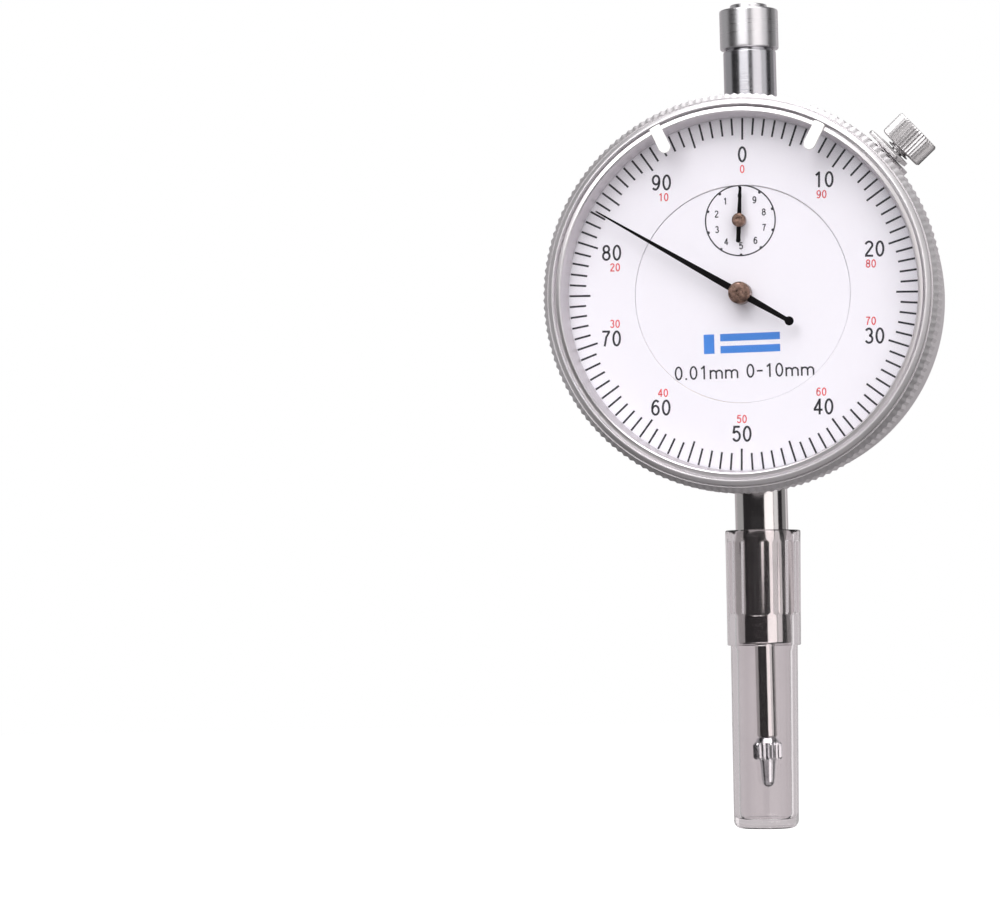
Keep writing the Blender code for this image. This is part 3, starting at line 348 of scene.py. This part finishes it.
class Shade:
    """A material's nodes, with short ways to add and join them."""

    def __init__(self, name):
        self.material = bpy.data.materials.new(name)
        self.material.use_nodes = True
        self.tree = self.material.node_tree
        self.shader = self.tree.nodes["Principled BSDF"]

    def node(self, kind, **settings):
        found = self.tree.nodes.new("ShaderNode" + kind)
        for key, value in settings.items():
            if key in found.inputs:
                found.inputs[key].default_value = value
            else:
                setattr(found, key, value)
        return found

    def join(self, output, target):
        self.tree.links.new(output, target)

    def set(self, **values):
        for key, value in values.items():
            self.shader.inputs[key.replace("_", " ")].default_value = value

    def math(self, operation, a, b=None):
        found = self.node("Math", operation=operation)
        for socket, value in zip(found.inputs, (a, b)):
            if value is None:
                continue
            if isinstance(value, (int, float)):
                socket.default_value = value
            else:
                self.join(value, socket)
        return found.outputs[0]

    def place(self):
        return self.node("TexCoord").outputs["Object"]

    def turned_place(self):
        """Coordinates in which rings about local Z are long: (radius, height, a little of the angle)."""
        parts = self.node("SeparateXYZ")
        self.join(self.place(), parts.inputs[0])
        x, y, z = parts.outputs
        squares = [self.math("MULTIPLY", part, part) for part in (x, y)]
        radius = self.math("SQRT", self.math("ADD", *squares))
        angle = self.math("ARCTAN2", y, x)
        joined = self.node("CombineXYZ")
        self.join(radius, joined.inputs[0])
        self.join(z, joined.inputs[1])
        self.join(self.math("MULTIPLY", self.math("ABSOLUTE", angle), 0.02 * MM), joined.inputs[2])
        return joined.outputs[0]

    def scaled(self, vector, scale):
        found = self.node("Mapping")
        found.inputs["Scale"].default_value = scale
        self.join(vector, found.inputs["Vector"])
        return found.outputs[0]

    def noise(self, vector, scale, detail=3.0):
        found = self.node("TexNoise", Scale=scale, Detail=detail, Roughness=0.55)
        self.join(vector, found.inputs["Vector"])
        return found.outputs["Fac"]

    def spread(self, value, low, high):
        """Maps a noise of about 0.3 to 0.7 to low to high."""
        found = self.node("MapRange")
        found.inputs["From Min"].default_value = 0.3
        found.inputs["From Max"].default_value = 0.7
        found.inputs["To Min"].default_value = low
        found.inputs["To Max"].default_value = high
        self.join(value, found.inputs["Value"])
        return found.outputs[0]

    def colours(self, value, dark, light):
        found = self.node("ValToRGB")
        found.color_ramp.elements[0].position = 0.3
        found.color_ramp.elements[1].position = 0.7
        found.color_ramp.elements[0].color = (*dark, 1)
        found.color_ramp.elements[1].color = (*light, 1)
        self.join(value, found.inputs[0])
        self.join(found.outputs[0], self.shader.inputs["Base Color"])

    def rough(self, value, low, high):
        self.join(self.spread(value, low, high), self.shader.inputs["Roughness"])

    def bump(self, value, distance, strength=1.0):
        found = self.node("Bump", Strength=strength, Distance=distance * MM)
        self.join(value, found.inputs["Height"])
        self.join(found.outputs[0], self.shader.inputs["Normal"])


def metal(name, colour, rough, spread, marks, deep, round_marks=True, stain=0.06, patches=160.0):
    """Machined metal: fine marks round local Z, or grain along it, and patches darker by the stain."""
    shade = Shade(name)
    if round_marks:
        fine = shade.noise(shade.turned_place(), marks, 4.0)
    else:
        fine = shade.noise(shade.scaled(shade.place(), (1.0, 1.0, 0.03)), marks, 3.0)
    slow = shade.noise(shade.place(), patches, 3.0)
    dark = tuple(c * (1 - stain) for c in colour)
    shade.colours(slow, dark, colour)
    shade.rough(fine, rough - spread / 2, rough + spread / 2)
    shade.bump(fine, deep)
    shade.set(Metallic=1.0)
    return shade.material


def plastic(name, colour, rough, marks, deep, stain, **values):
    """Moulded plastic or paint: slow changes of tone and a fine bump."""
    shade = Shade(name)
    fine = shade.noise(shade.place(), marks, 3.0)
    shade.colours(shade.noise(shade.place(), 120.0), tuple(c * (1 - stain) for c in colour), colour)
    shade.rough(fine, rough - 0.04, rough + 0.04)
    shade.bump(fine, deep)
    shade.set(**values)
    return shade.material


def leather_grain(name):
    """Black moulded plastic with a leather grain: small pebbles parted by fine creases."""
    shade = Shade(name)
    place = shade.place()
    warp = shade.noise(place, 500.0, 2.0)
    moved = shade.node("VectorMath", operation="ADD")
    offset = shade.node("CombineXYZ")
    shift = shade.math("MULTIPLY", warp, 0.0006)
    for socket in offset.inputs:
        shade.join(shift, socket)
    shade.join(place, moved.inputs[0])
    shade.join(offset.outputs[0], moved.inputs[1])
    cells = shade.node("TexVoronoi", feature="F1", Scale=1900.0)
    shade.join(moved.outputs[0], cells.inputs["Vector"])
    pebble = shade.math("SUBTRACT", 1.0, cells.outputs["Distance"])
    fine = shade.noise(place, 4200.0, 2.0)
    height = shade.math("ADD", pebble, shade.math("MULTIPLY", fine, 0.5))
    shade.colours(shade.noise(place, 900.0), (0.010, 0.009, 0.010), (0.021, 0.019, 0.020))
    shade.rough(fine, 0.34, 0.50)
    shade.bump(height, 0.09, 0.9)
    shade.set(Specular_IOR_Level=0.55)
    return shade.material


def clear(name, colour, rough, ior, marks, deep):
    """Clear moulded plastic with slightly uneven walls."""
    shade = Shade(name)
    shade.colours(shade.noise(shade.place(), 90.0), tuple(c * 0.97 for c in colour), colour)
    shade.bump(shade.noise(shade.place(), marks, 2.0), deep)
    shade.set(Transmission_Weight=1.0, IOR=ior, Roughness=rough)
    return shade.material


def window(name):
    """A thin clear window: what is behind it shows, and it reflects more at grazing angles."""
    shade = Shade(name)
    facing = shade.node("LayerWeight", Blend=0.5).outputs["Facing"]
    shine = shade.math("ADD", shade.math("MULTIPLY", shade.math("POWER", facing, 5.0), 0.96), 0.04)
    smudge = shade.noise(shade.place(), 60.0)
    through = shade.node("BsdfTransparent", Color=(0.992, 0.986, 0.994, 1))
    mirror = shade.node("BsdfGlossy", Color=(1, 1, 1, 1))
    shade.join(shade.spread(smudge, 0.02, 0.05), mirror.inputs["Roughness"])
    mixed = shade.node("MixShader")
    for output, socket in zip((shine, through.outputs[0], mirror.outputs[0]), mixed.inputs):
        shade.join(output, socket)
    shade.tree.nodes.remove(shade.shader)
    shade.join(mixed.outputs[0], shade.tree.nodes["Material Output"].inputs["Surface"])
    return shade.material


SATIN = metal("satin_chrome_turned", (0.72, 0.695, 0.71), 0.50, 0.08, 5200, 0.0022)
KNURLED = metal("satin_chrome_knurled", (0.58, 0.565, 0.57), 0.40, 0.08, 3000, 0.0015)
CAP_METAL = metal("satin_chrome_brushed", (0.63, 0.615, 0.635), 0.30, 0.10, 3600, 0.003)
STEEL = metal("steel_ground", (0.66, 0.635, 0.63), 0.13, 0.06, 5200, 0.0010)
TUBE = metal("steel_tube", (0.49, 0.48, 0.51), 0.22, 0.10, 4200, 0.003)
CONTACT = metal("steel_contact", (0.74, 0.74, 0.76), 0.22, 0.08, 4200, 0.002)
NICKEL = metal("nickel_screw", (0.72, 0.67, 0.60), 0.30, 0.12, 2600, 0.006)
BRASS = metal("brass_plate", (0.72, 0.52, 0.26), 0.28, 0.12, 2200, 0.003, round_marks=False)
MOVEMENT_STEEL = metal("steel_movement", (0.60, 0.60, 0.62), 0.22, 0.10, 2600, 0.003, round_marks=False)
HUB = metal(
    "brown_brass", (0.40, 0.26, 0.20), 0.33, 0.20, 2400, 0.006, round_marks=False, stain=0.85, patches=1300
)
WHITE = plastic("dial_white", (0.92, 0.915, 0.95), 0.55, 1500, 0.002, 0.012)
BLACK_PRINT = plastic("print_black", (0.030, 0.030, 0.038), 0.55, 2500, 0.002, 0.15)
RED_PRINT = plastic("print_red", (0.84, 0.11, 0.12), 0.55, 2500, 0.002, 0.12)
BLUE_PRINT = plastic("print_blue", (0.06, 0.27, 0.80), 0.50, 2500, 0.002, 0.2)
POINTER = plastic("pointer_black", (0.005, 0.0045, 0.005), 0.45, 2500, 0.003, 0.3, Specular_IOR_Level=0.04)
RING = metal("satin_chrome_fine", (0.74, 0.71, 0.725), 0.32, 0.08, 5200, 0.0015)
TAB_WHITE = plastic("tab_white", (0.88, 0.87, 0.86), 0.45, 1500, 0.004, 0.03)
LUG_BLACK = plastic("lug_black", (0.010, 0.009, 0.010), 0.16, 420, 0.02, 0.3, Specular_IOR_Level=0.6)
GRAIN_BLACK = leather_grain("cover_black")
GLASS = window("window_clear")
SLEEVE = clear("sleeve_clear", (0.95, 0.92, 0.93), 0.08, 1.33, 300.0, 0.02)


def dress_frame():
    """Finishes for the movement inside the case, which keeps its CAD shapes."""
    steel = ("rack_arbor", "centre_arbor", "take_up_arbor", "hairspring", "return_spring", "spring_post")
    steel += ("guide_pin", "cock_screw", "dial_snap_ring", "bezel_spring_ring")
    for name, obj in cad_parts.items():
        is_steel = name.startswith(steel) or "screw" in name
        obj.data.materials.clear()
        obj.data.materials.append(MOVEMENT_STEEL if is_steel else BRASS)


# Bezel


def make_bezel():
    """The knurled bezel, its window, and the bevelled ring that lies on the window's edge."""
    rear = rounded([(27.5, 7.5, 0.1), (28.4, 7.5, 0.25), (28.4, 10.0), (29.2, 10.0), (29.3, 10.05)])[:-1]
    teeth = [(29.35, 10.05), (29.75, 10.45, 0.24), (29.75, 15.1, 0.24), (28.95, 15.95)]
    front = rounded(
        [
            (28.75, 15.95, 0.05),
            (28.7, 16.4, 0.1),
            (28.1, 17.0, 0.1),
            (27.9, 17.0, 0.05),
            (27.9, 15.4),
            (27.2, 15.4, 0.1),
            (26.35, 13.0, 0.15),
            (26.35, 12.75, 0.05),
            (27.5, 12.75),
            (27.5, 9.9),
            (27.8, 9.9),
            (27.8, 8.9),
            (27.5, 8.9),
        ]
    )
    looks = (SATIN, "bezel", "satin_chrome", ["bezel_ring"])
    lathe("knurled_bezel", DIAL, [*rear, *teeth, *front], *looks, KNURL_TEETH * len(TOOTH), TOOTH, 28)
    glass = rounded([(0, 15.7), (27.5, 15.7, 0.1), (27.5, 16.5, 0.15), (0, 16.5)])
    lathe("window_glass", DIAL, glass, GLASS, "bezel", "crystal_clear", ["crystal"])
    edge = rounded([(26.8, 16.51), (27.5, 16.51), (27.5, 16.55), (26.95, 16.71, 0.05)])
    lathe("window_edge", DIAL, edge, RING, "bezel", "satin_chrome")


# Dials


def make_dials():
    plate = rounded([(16.25, 12.0), (27.2, 12.0), (27.2, OUTER_DIAL_FACE), (16.25, OUTER_DIAL_FACE, 0.12)])
    lathe("outer_dial", DIAL, plate, WHITE, "bezel", "dial_white", ["dial_ring"])
    disc = rounded([(0, 11.8), (16.2, 11.8), (16.2, INNER_DIAL_FACE, 0.1), (0, INNER_DIAL_FACE)])
    lathe("inner_dial", DIAL, disc, WHITE, "case", "dial_white", ["dial_disc"])
    print_outer_dial(OUTER_DIAL_FACE + PRINT_LIFT)
    print_inner_dial(INNER_DIAL_FACE + PRINT_LIFT)


def print_outer_dial(height):
    """A hundred marks, with black numbers clockwise and small red ones anticlockwise."""
    mesh = bmesh.new()
    outer, width = 26.3, 0.30
    for tick in range(100):
        angle = math.pi / 2 - TURN * tick / 100
        inner = 23.05 if tick % 5 == 0 else 23.75
        add_bar(mesh, polar((inner + outer) / 2, angle), angle, outer - inner, width, height)
    for digit in range(10):
        angle = math.pi / 2 - TURN * digit / 10
        add_text(mesh, str(digit * 10), 2.35, *polar(NUMBER_R, angle), height)
    place = turned(DIAL, OUTER_DIAL_TURN)
    new_object("outer_dial_print", mesh, place, BLACK_PRINT, "bezel")
    mesh = bmesh.new()
    for digit in range(10):
        angle = math.pi / 2 - TURN * digit / 10
        x, y = polar(NUMBER_R, angle)
        text = str((10 - digit) % 10 * 10)
        add_text(mesh, text, 1.2, x * 0.973, y + math.copysign(2.2, -y), height, 0.15)
    new_object("outer_dial_red_print", mesh, place, RED_PRINT, "bezel")


def print_inner_dial(height):
    """The turn counter's scale, the range, and plain bars in the place of a mark."""
    small_y = (SMALL_Z - DIAL_Z) / MM
    mesh = bmesh.new()
    add_ring(mesh, (0, small_y + 0.05), 5.15, 5.36, height)
    for digit in range(10):
        angle = math.pi / 2 + TURN * digit / 10
        x, y = polar(5.1, angle)
        add_ring(mesh, (x, y + small_y), 0.001, 0.22, height + 0.002, 16)
        x, y = polar(3.75, angle)
        add_text(mesh, str(digit), 1.02, x, y + small_y, height, 0.165)
    add_text(mesh, "0.01mm 0-10mm", 2.05, 0.0, -11.5, height, 0.125, 1.07)
    new_object("inner_dial_print", mesh, DIAL, BLACK_PRINT, "case")
    mesh = bmesh.new()
    for x, y, long, wide in ((1.0, -6.4, 9.0, 1.1), (1.0, -8.2, 9.0, 1.1), (-5.2, -7.3, 1.6, 2.9)):
        add_bar(mesh, (x, y), 0, long, wide, height)
    new_object("inner_dial_mark", mesh, DIAL, BLUE_PRINT, "case")


# Pointers


def hand_outline(tip, tip_half, eye, neck_half, tail, tail_r, tail_half):
    """A hand that points up: a long taper, a round eye about its axis and a tail with a round end."""
    right = [(tip_half, tip)]
    start = math.acos(neck_half / eye)
    right += arc((0, 0), eye, start, -start, 16)
    end = math.acos(tail_half / tail_r)
    right += arc((0, -tail), tail_r, end, -math.pi / 2, 12)[:-1]
    left = [(-x, y) for x, y in reversed(right)]
    return [*right, (0, -tail - tail_r), *left]


def make_long_hand():
    outline = hand_outline(
        tip=25.2, tip_half=0.11, eye=1.3, neck_half=0.47, tail=8.55, tail_r=0.68, tail_half=0.28
    )
    looks = (POINTER, "main_pointer", "pointer_black", ["main_pointer"])
    prism("long_hand", turned(DIAL, LONG_HAND_TURN), outline, 14.4, 14.65, 0.05, *looks)
    hub = rounded(
        [
            (0, 15.3),
            (0.55, 15.3),
            (0.6, 15.42),
            (1.4, 15.42, 0.08),
            (1.66, 15.2, 0.1),
            (1.66, 13.1, 0.05),
            (0, 13.1),
        ]
    )
    lathe("long_hand_hub", DIAL, hub, HUB, "main_pointer", "hub_brass", ["main_pointer_hub"], 64)


def make_short_hand():
    outline = hand_outline(
        tip=4.95, tip_half=0.2, eye=0.8, neck_half=0.27, tail=3.0, tail_r=0.36, tail_half=0.26
    )
    looks = (POINTER, "small_pointer", "pointer_black", ["small_pointer"])
    prism("short_hand", turned(SMALL, SHORT_HAND_TURN), outline, 13.35, 13.6, 0.04, *looks)
    hub = rounded(
        [
            (0, 14.0),
            (0.35, 14.0),
            (0.4, 14.12),
            (0.82, 14.12, 0.06),
            (1.02, 13.95, 0.08),
            (1.02, 12.7, 0.05),
            (0, 12.7),
        ]
    )
    lathe("short_hand_hub", SMALL, hub, HUB, "small_pointer", "hub_brass", ["small_pointer_hub"], 48)


def make_markers():
    """White limit markers: a tongue over the window, and a leg in the groove round the window."""
    half = 0.875
    inner_end, outer_end = 23.4, 27.72
    tongue_end = arc((0, inner_end + half), half, math.pi, TURN, 16)
    outline = [(half, outer_end), *reversed(tongue_end), (-half, outer_end)]
    outline = rounded([(x, y, 0.1 if y > 27 else 0) for x, y in outline])
    leg = [(0.6, 27.56), (0.6, 27.8), (-0.6, 27.8), (-0.6, 27.56)]
    for name, node, body, angle in (
        ("left_marker", "tolerance_tab_left", "tab_left", LEFT_MARKER_TURN),
        ("right_marker", "tolerance_tab_right", "tab_right", RIGHT_MARKER_TURN),
    ):
        mesh = bmesh.new()
        add_prism(mesh, outline, 16.75, 17.1)
        bevel_ends(mesh, 0.08)
        add_prism(mesh, leg, 15.8, 16.9)
        new_object(name, mesh, turned(DIAL, angle), TAB_WHITE, body, [node])


# Case, cover and tubes


def make_case():
    """The case's ring, with an inner flange for the movement, and the pad under the lock's leaf."""
    section = rounded(
        [
            (27.9, -7.3, 0.35),
            (27.9, 7.2, 0.15),
            (27.2, 7.2),
            (27.2, 11.1),
            (26.1, 11.1),
            (26.1, 8.1),
            (22.2, 8.1),
            (22.2, 6.9),
            (26.1, 6.9),
            (26.1, -5.3),
            (27.3, -5.3),
            (27.3, -7.3, 0.15),
        ],
        4,
    )
    lathe("case_shell", DIAL, section, SATIN, "case", "satin_chrome", ["case_body"])
    seat = rounded([(-2.6, -3.0, 0.3), (2.6, -3.0, 0.3), (2.6, 3.0, 0.3), (-2.6, 3.0, 0.3)])
    prism("lock_seat", LOCK, seat, 26.7, 29.75, 0.1, SATIN, "case", "satin_chrome")


def make_cover():
    section = rounded([(0, -5.6), (27.0, -5.6, 0.05), (27.0, -7.1, 0.3), (0, -7.1)], 4)
    cover = lathe("back_panel", DIAL, section, GRAIN_BLACK, "case", "black_plastic", ["back_cover"])
    cut_screw_wells(cover)


def make_lug():
    """The lug, drawn from the side as (behind the dial, up), with its root inside the cover."""
    hole, hole_r, half_width = (18.6, 0), 3.25, 2.6
    outline = [(6.2, -8.9), *arc(hole, 8.6, -math.pi / 2, math.pi / 2, 40), (6.2, 8.9)]
    mesh = bmesh.new()
    add_prism(mesh, outline, -half_width, half_width)
    lug = new_object("back_lug", mesh, SIDE, LUG_BLACK, "case")
    cutter = cylinder("lug_cutter", SIDE, hole, hole_r, -4, 4, 64)
    cut(lug, cutter)
    bevel = lug.modifiers.new("edges", "BEVEL")
    bevel.width = 0.45 * MM
    bevel.segments = 4
    bevel.limit_method = "ANGLE"
    bevel.angle_limit = math.radians(40)
    apply_modifiers(lug)
    bpy.data.objects.remove(cutter)


def cylinder(name, matrix, place, radius, low, high, sides):
    """A tool that cuts a round hole, and is removed after the cut."""
    mesh = bmesh.new()
    add_prism(mesh, arc(place, radius, 0, TURN, sides)[:-1], low, high)
    bmesh.ops.recalc_face_normals(mesh, faces=mesh.faces)
    obj = link_mesh(name, mesh)
    obj.matrix_world = matrix
    return obj


def cut(target, tool):
    modifier = target.modifiers.new("cut", "BOOLEAN")
    modifier.operation = "DIFFERENCE"
    modifier.solver = "EXACT"
    modifier.object = tool


def apply_modifiers(obj):
    bpy.context.view_layer.update()
    graph = bpy.context.evaluated_depsgraph_get()
    data = bpy.data.meshes.new_from_object(obj.evaluated_get(graph))
    obj.modifiers.clear()
    obj.data = data
    shade_smooth(data)
    weigh_normals(obj)


def screw_places():
    return [polar(24.2, TURN * i / 3) for i in range(3)]


def cut_screw_wells(cover):
    tools = []
    for place in screw_places():
        tools.append(cylinder("well", DIAL, place, 1.6, -9, -6.3, 32))
        cut(cover, tools[-1])
    apply_modifiers(cover)
    for tool in tools:
        bpy.data.objects.remove(tool)


def make_cover_screws():
    head = rounded(
        [
            (0, -7.15),
            (0.9, -7.1, 0.2),
            (1.35, -6.85, 0.15),
            (1.35, -6.4),
            (0.8, -6.4),
            (0.8, -2.4),
            (0, -2.4),
        ]
    )
    for number, place in enumerate(screw_places(), 1):
        matrix = DIAL @ Matrix.Translation((place[0] * MM, place[1] * MM, 0))
        name = f"cover_screw_head_{number}"
        lathe(name, matrix, head, NICKEL, "case", "nickel", [f"cover_screw_{number}"], 40)


def make_tubes():
    """The stem below the case, the guide tube and its cap above it, and the rod through them."""
    groove = [(4.0, -48.05), (3.96, -47.95), (3.96, -47.85), (4.0, -47.75)]
    section = rounded([(1.85, -52.2, 0.1), (4.0, -52.2, 0.35), *groove, (4.0, -24.0), (1.85, -24.0)], 4)
    lathe("stem_tube", STEM, section, STEEL, "case", "steel", ["stem"], ROUND)
    neck = [(4.0, 37.85, 0.25), (3.5, 37.85), (3.5, 41.0)]
    section = rounded([(1.85, 24.0), (4.0, 24.0), *neck, (1.85, 41.0)], 4)
    lathe("top_tube", STEM, section, TUBE, "case", "steel", ["upper_tube"], ROUND)
    section = rounded(
        [
            (0, 42.6),
            (3.6, 42.6),
            (3.6, 38.15),
            (4.45, 38.15, 0.3),
            (4.45, 44.2, 0.3),
            (2.85, 44.2, 0.1),
            (2.8, 45.0, 0.2),
            (0, 45.0),
        ],
        4,
    )
    lathe("top_cap", STEM, section, CAP_METAL, "case", "satin_chrome", ["dust_cap"], ROUND)
    section = rounded([(0, -66.3), (1.3, -66.3), (1.55, -66.05), (1.55, 30.2), (1.3, 30.5), (0, 30.5)])
    lathe("measuring_rod", STEM, section, STEEL, "spindle", "steel", ["spindle"], 64)
    make_contact()


def make_contact():
    """The screwed contact: a knurled collar, a taper and a ball."""
    shoulder = [(0, -66.35), (1.5, -66.35), (1.7, -66.6), (1.95, -67.1)]
    teeth = [(2.2, -67.4, 0.3), (2.2, -69.35, 0.3), (2.0, -69.6)]
    ball = arc((0, -72.85), 0.95, 0, -math.pi / 2, 8)[:-1]
    section = [*shoulder, *teeth, (1.3, -69.65), (1.2, -70.2), (1.02, -72.4), *ball, (0, -73.8)]
    wave = [0.0, 0.6, 1.0, 0.6]
    looks = (CONTACT, "spindle", "steel", ["contact_point"])
    lathe("contact_tip", STEM, section, *looks, CONTACT_TEETH * len(wave), wave, 25)


def make_sleeve():
    """The clear sleeve: ribs inside its upper part grip the stem, and its lower part narrows."""
    ball = arc((3.7, -78.8), 1.2, 0, -math.pi / 2, 8)
    section = [
        (0, -78.6),
        (3.0, -78.6),
        (3.6, -78.4),
        (3.85, -77.8),
        (3.9, -53.2),
        (4.15, -52.8),
        (4.15, -47.9),
        (4.15, -47.4, -0.35),
        (4.15, -36.9, -0.35),
        (4.35, -36.5),
        (4.5, -35.4),
        (4.75, -35.05),
        (5.55, -35.0),
        (5.7, -35.15),
        (5.55, -52.25),
        (5.45, -52.4),
        (5.05, -52.45),
        *ball,
        (0, -80.0),
    ]
    ribs = [0.0, 0.15, 0.5, 0.85, 1.0, 0.85, 0.5, 0.15]
    grip = Matrix.Translation((0, 0, SLEEVE_GRIP_Z))
    place = STEM @ grip @ Matrix.Rotation(SLEEVE_LEAN, 4, "Y") @ grip.inverted()
    looks = (SLEEVE, "sleeve", "sleeve_clear", ["protective_sleeve"])
    lathe("clear_sleeve", place, section, *looks, SLEEVE_RIBS * len(ribs), ribs)


def make_lock():
    """The bezel's lock: a leaf that reaches over the knurl, and the knurled screw that presses it."""
    eye = arc((0, 0), 2.4, math.pi / 2, 3 * math.pi / 2, 24)
    outline = rounded([*eye, (8.0, -2.9, 1.0), (13.0, -2.9, 0.8), (13.0, 2.9, 0.8), (8.0, 2.9, 1.0)])
    prism("lock_leaf", LOCK, outline, 30.05, 30.7, 0.2, KNURLED, "case", "satin_chrome", ["clamp_leaf"])
    section = [
        (0, 25.0),
        (0.95, 25.0),
        (0.95, 30.95),
        (1.7, 30.95),
        (1.9, 31.05),
        (1.9, 31.15),
        (1.45, 31.25),
        (1.45, 31.4),
        (1.8, 31.5),
        (3.45, 31.5),
        (3.7, 31.7),
        (3.75, 31.8, 0.24),
        (3.75, 35.2, 0.24),
        (3.55, 35.45),
        (0, 35.45),
    ]
    looks = (KNURLED, "clamp_screw", "satin_chrome", ["clamp_screw"])
    lathe("lock_screw", LOCK, section, *looks, LOCK_TEETH * len(TOOTH), TOOTH, 25)


# Stage

SOFTBOX_DISTANCE = 0.9


def make_floor():
    """A pale floor that neither shades the part nor shows in it."""
    mesh = bmesh.new()
    for x, y in ((-3, -3), (3, -3), (3, 3), (-3, 3)):
        mesh.verts.new((x, y, FLOOR_Z))
    mesh.faces.new(mesh.verts)
    obj = link_mesh("floor", mesh)
    shade = Shade("floor_white")
    shade.colours(shade.noise(shade.place(), 2.0), (0.90, 0.90, 0.90), (0.93, 0.93, 0.93))
    shade.set(Roughness=0.9, Emission_Color=(1, 1, 1, 1), Emission_Strength=0.97)
    obj.data.materials.append(shade.material)
    obj.visible_diffuse = False
    obj.visible_glossy = False
    obj.visible_transmission = False
    obj.visible_shadow = False


def direction(azimuth, elevation):
    """From the dial towards a light or the camera. Azimuth 0 is in front, and grows to the right."""
    a, e = math.radians(azimuth), math.radians(elevation)
    return Vector((math.sin(a) * math.cos(e), -math.cos(a) * math.cos(e), math.sin(e)))


def softbox(name, azimuth, elevation, width, height, radiance, colour=(1, 1, 1)):
    """A light that faces the dial, width by height in metres."""
    data = bpy.data.lights.new(name, "AREA")
    data.shape = "RECTANGLE"
    data.size = width
    data.size_y = height
    data.energy = radiance * math.pi * width * height
    data.color = colour
    obj = link_object(name, data)
    towards = direction(azimuth, elevation)
    obj.location = CENTRE + towards * SOFTBOX_DISTANCE
    obj.rotation_euler = towards.to_track_quat("Z", "Y").to_euler()
    obj.visible_camera = False


def make_world():
    """A dim room that lights the part, and a white backdrop where the camera sees past the part."""
    world = bpy.data.worlds.new("studio")
    bpy.context.scene.world = world
    world.use_nodes = True
    tree = world.node_tree
    tree.nodes.clear()
    path = tree.nodes.new("ShaderNodeLightPath")
    shown = tree.nodes.new("ShaderNodeMixShader")
    output = tree.nodes.new("ShaderNodeOutputWorld")
    tree.links.new(path.outputs["Is Camera Ray"], shown.inputs[0])
    for socket, colour, strength in (
        (shown.inputs[1], (1.0, 0.95, 1.0), 0.03),
        (shown.inputs[2], (1.0, 1.0, 1.0), 1.0),
    ):
        backdrop = tree.nodes.new("ShaderNodeBackground")
        backdrop.inputs["Color"].default_value = (*colour, 1)
        backdrop.inputs["Strength"].default_value = strength
        tree.links.new(backdrop.outputs[0], socket)
    tree.links.new(shown.outputs[0], output.inputs["Surface"])


def make_lights():
    """Softboxes by azimuth, elevation, width, height, radiance and colour."""
    softbox("key", -17, 28, 0.66, 0.60, 3.2)
    softbox("high", 12, 62, 1.0, 0.80, 4.0)
    softbox("top", 0, 90, 0.9, 0.5, 2.2)
    softbox("below", 0, -82, 1.3, 0.5, 0.45, (1.0, 0.97, 0.98))
    softbox("fill", 0, -42, 1.8, 0.75, 0.52, (1.0, 0.98, 0.99))
    softbox("side", 42, 6, 0.66, 1.1, 1.6, (1.0, 0.975, 0.965))
    softbox("side_far", 75, 6, 0.34, 1.1, 0.95)
    softbox("left_rear", -103, 0, 0.85, 1.1, 0.45)
    softbox("right_rear", 132, 0, 0.70, 1.1, 0.30)
    softbox("behind", 186, 0, 1.9, 1.3, 0.56, (1.0, 0.95, 0.97))


def make_camera():
    """A camera to the right of the dial's axis and just below it, turned a little about its view."""
    azimuth, elevation, roll = 13.12, -2.41, math.radians(-1.35)
    distance = 0.614
    shift_right, shift_up = -39.41 * MM, -21.88 * MM
    data = bpy.data.cameras.new("camera")
    data.sensor_width = 36.0
    data.lens = 145.5
    data.clip_start = 0.01
    back = direction(azimuth, elevation)
    right = Vector((math.cos(math.radians(azimuth)), math.sin(math.radians(azimuth)), 0))
    up = back.cross(right)
    turned_right = right * math.cos(roll) + up * math.sin(roll)
    turned_up = up * math.cos(roll) - right * math.sin(roll)
    obj = link_object("camera", data)
    matrix = Matrix((turned_right, turned_up, back)).transposed().to_4x4()
    matrix.translation = CENTRE + right * shift_right + up * shift_up + back * distance
    obj.matrix_world = matrix
    bpy.context.scene.camera = obj


dress_frame()
make_bezel()
make_dials()
make_long_hand()
make_short_hand()
make_markers()
make_case()
make_cover()
make_lug()
make_cover_screws()
make_tubes()
make_sleeve()
make_lock()
make_floor()
make_world()
make_lights()
make_camera()
bpy.context.scene.view_settings.view_transform = "Standard"
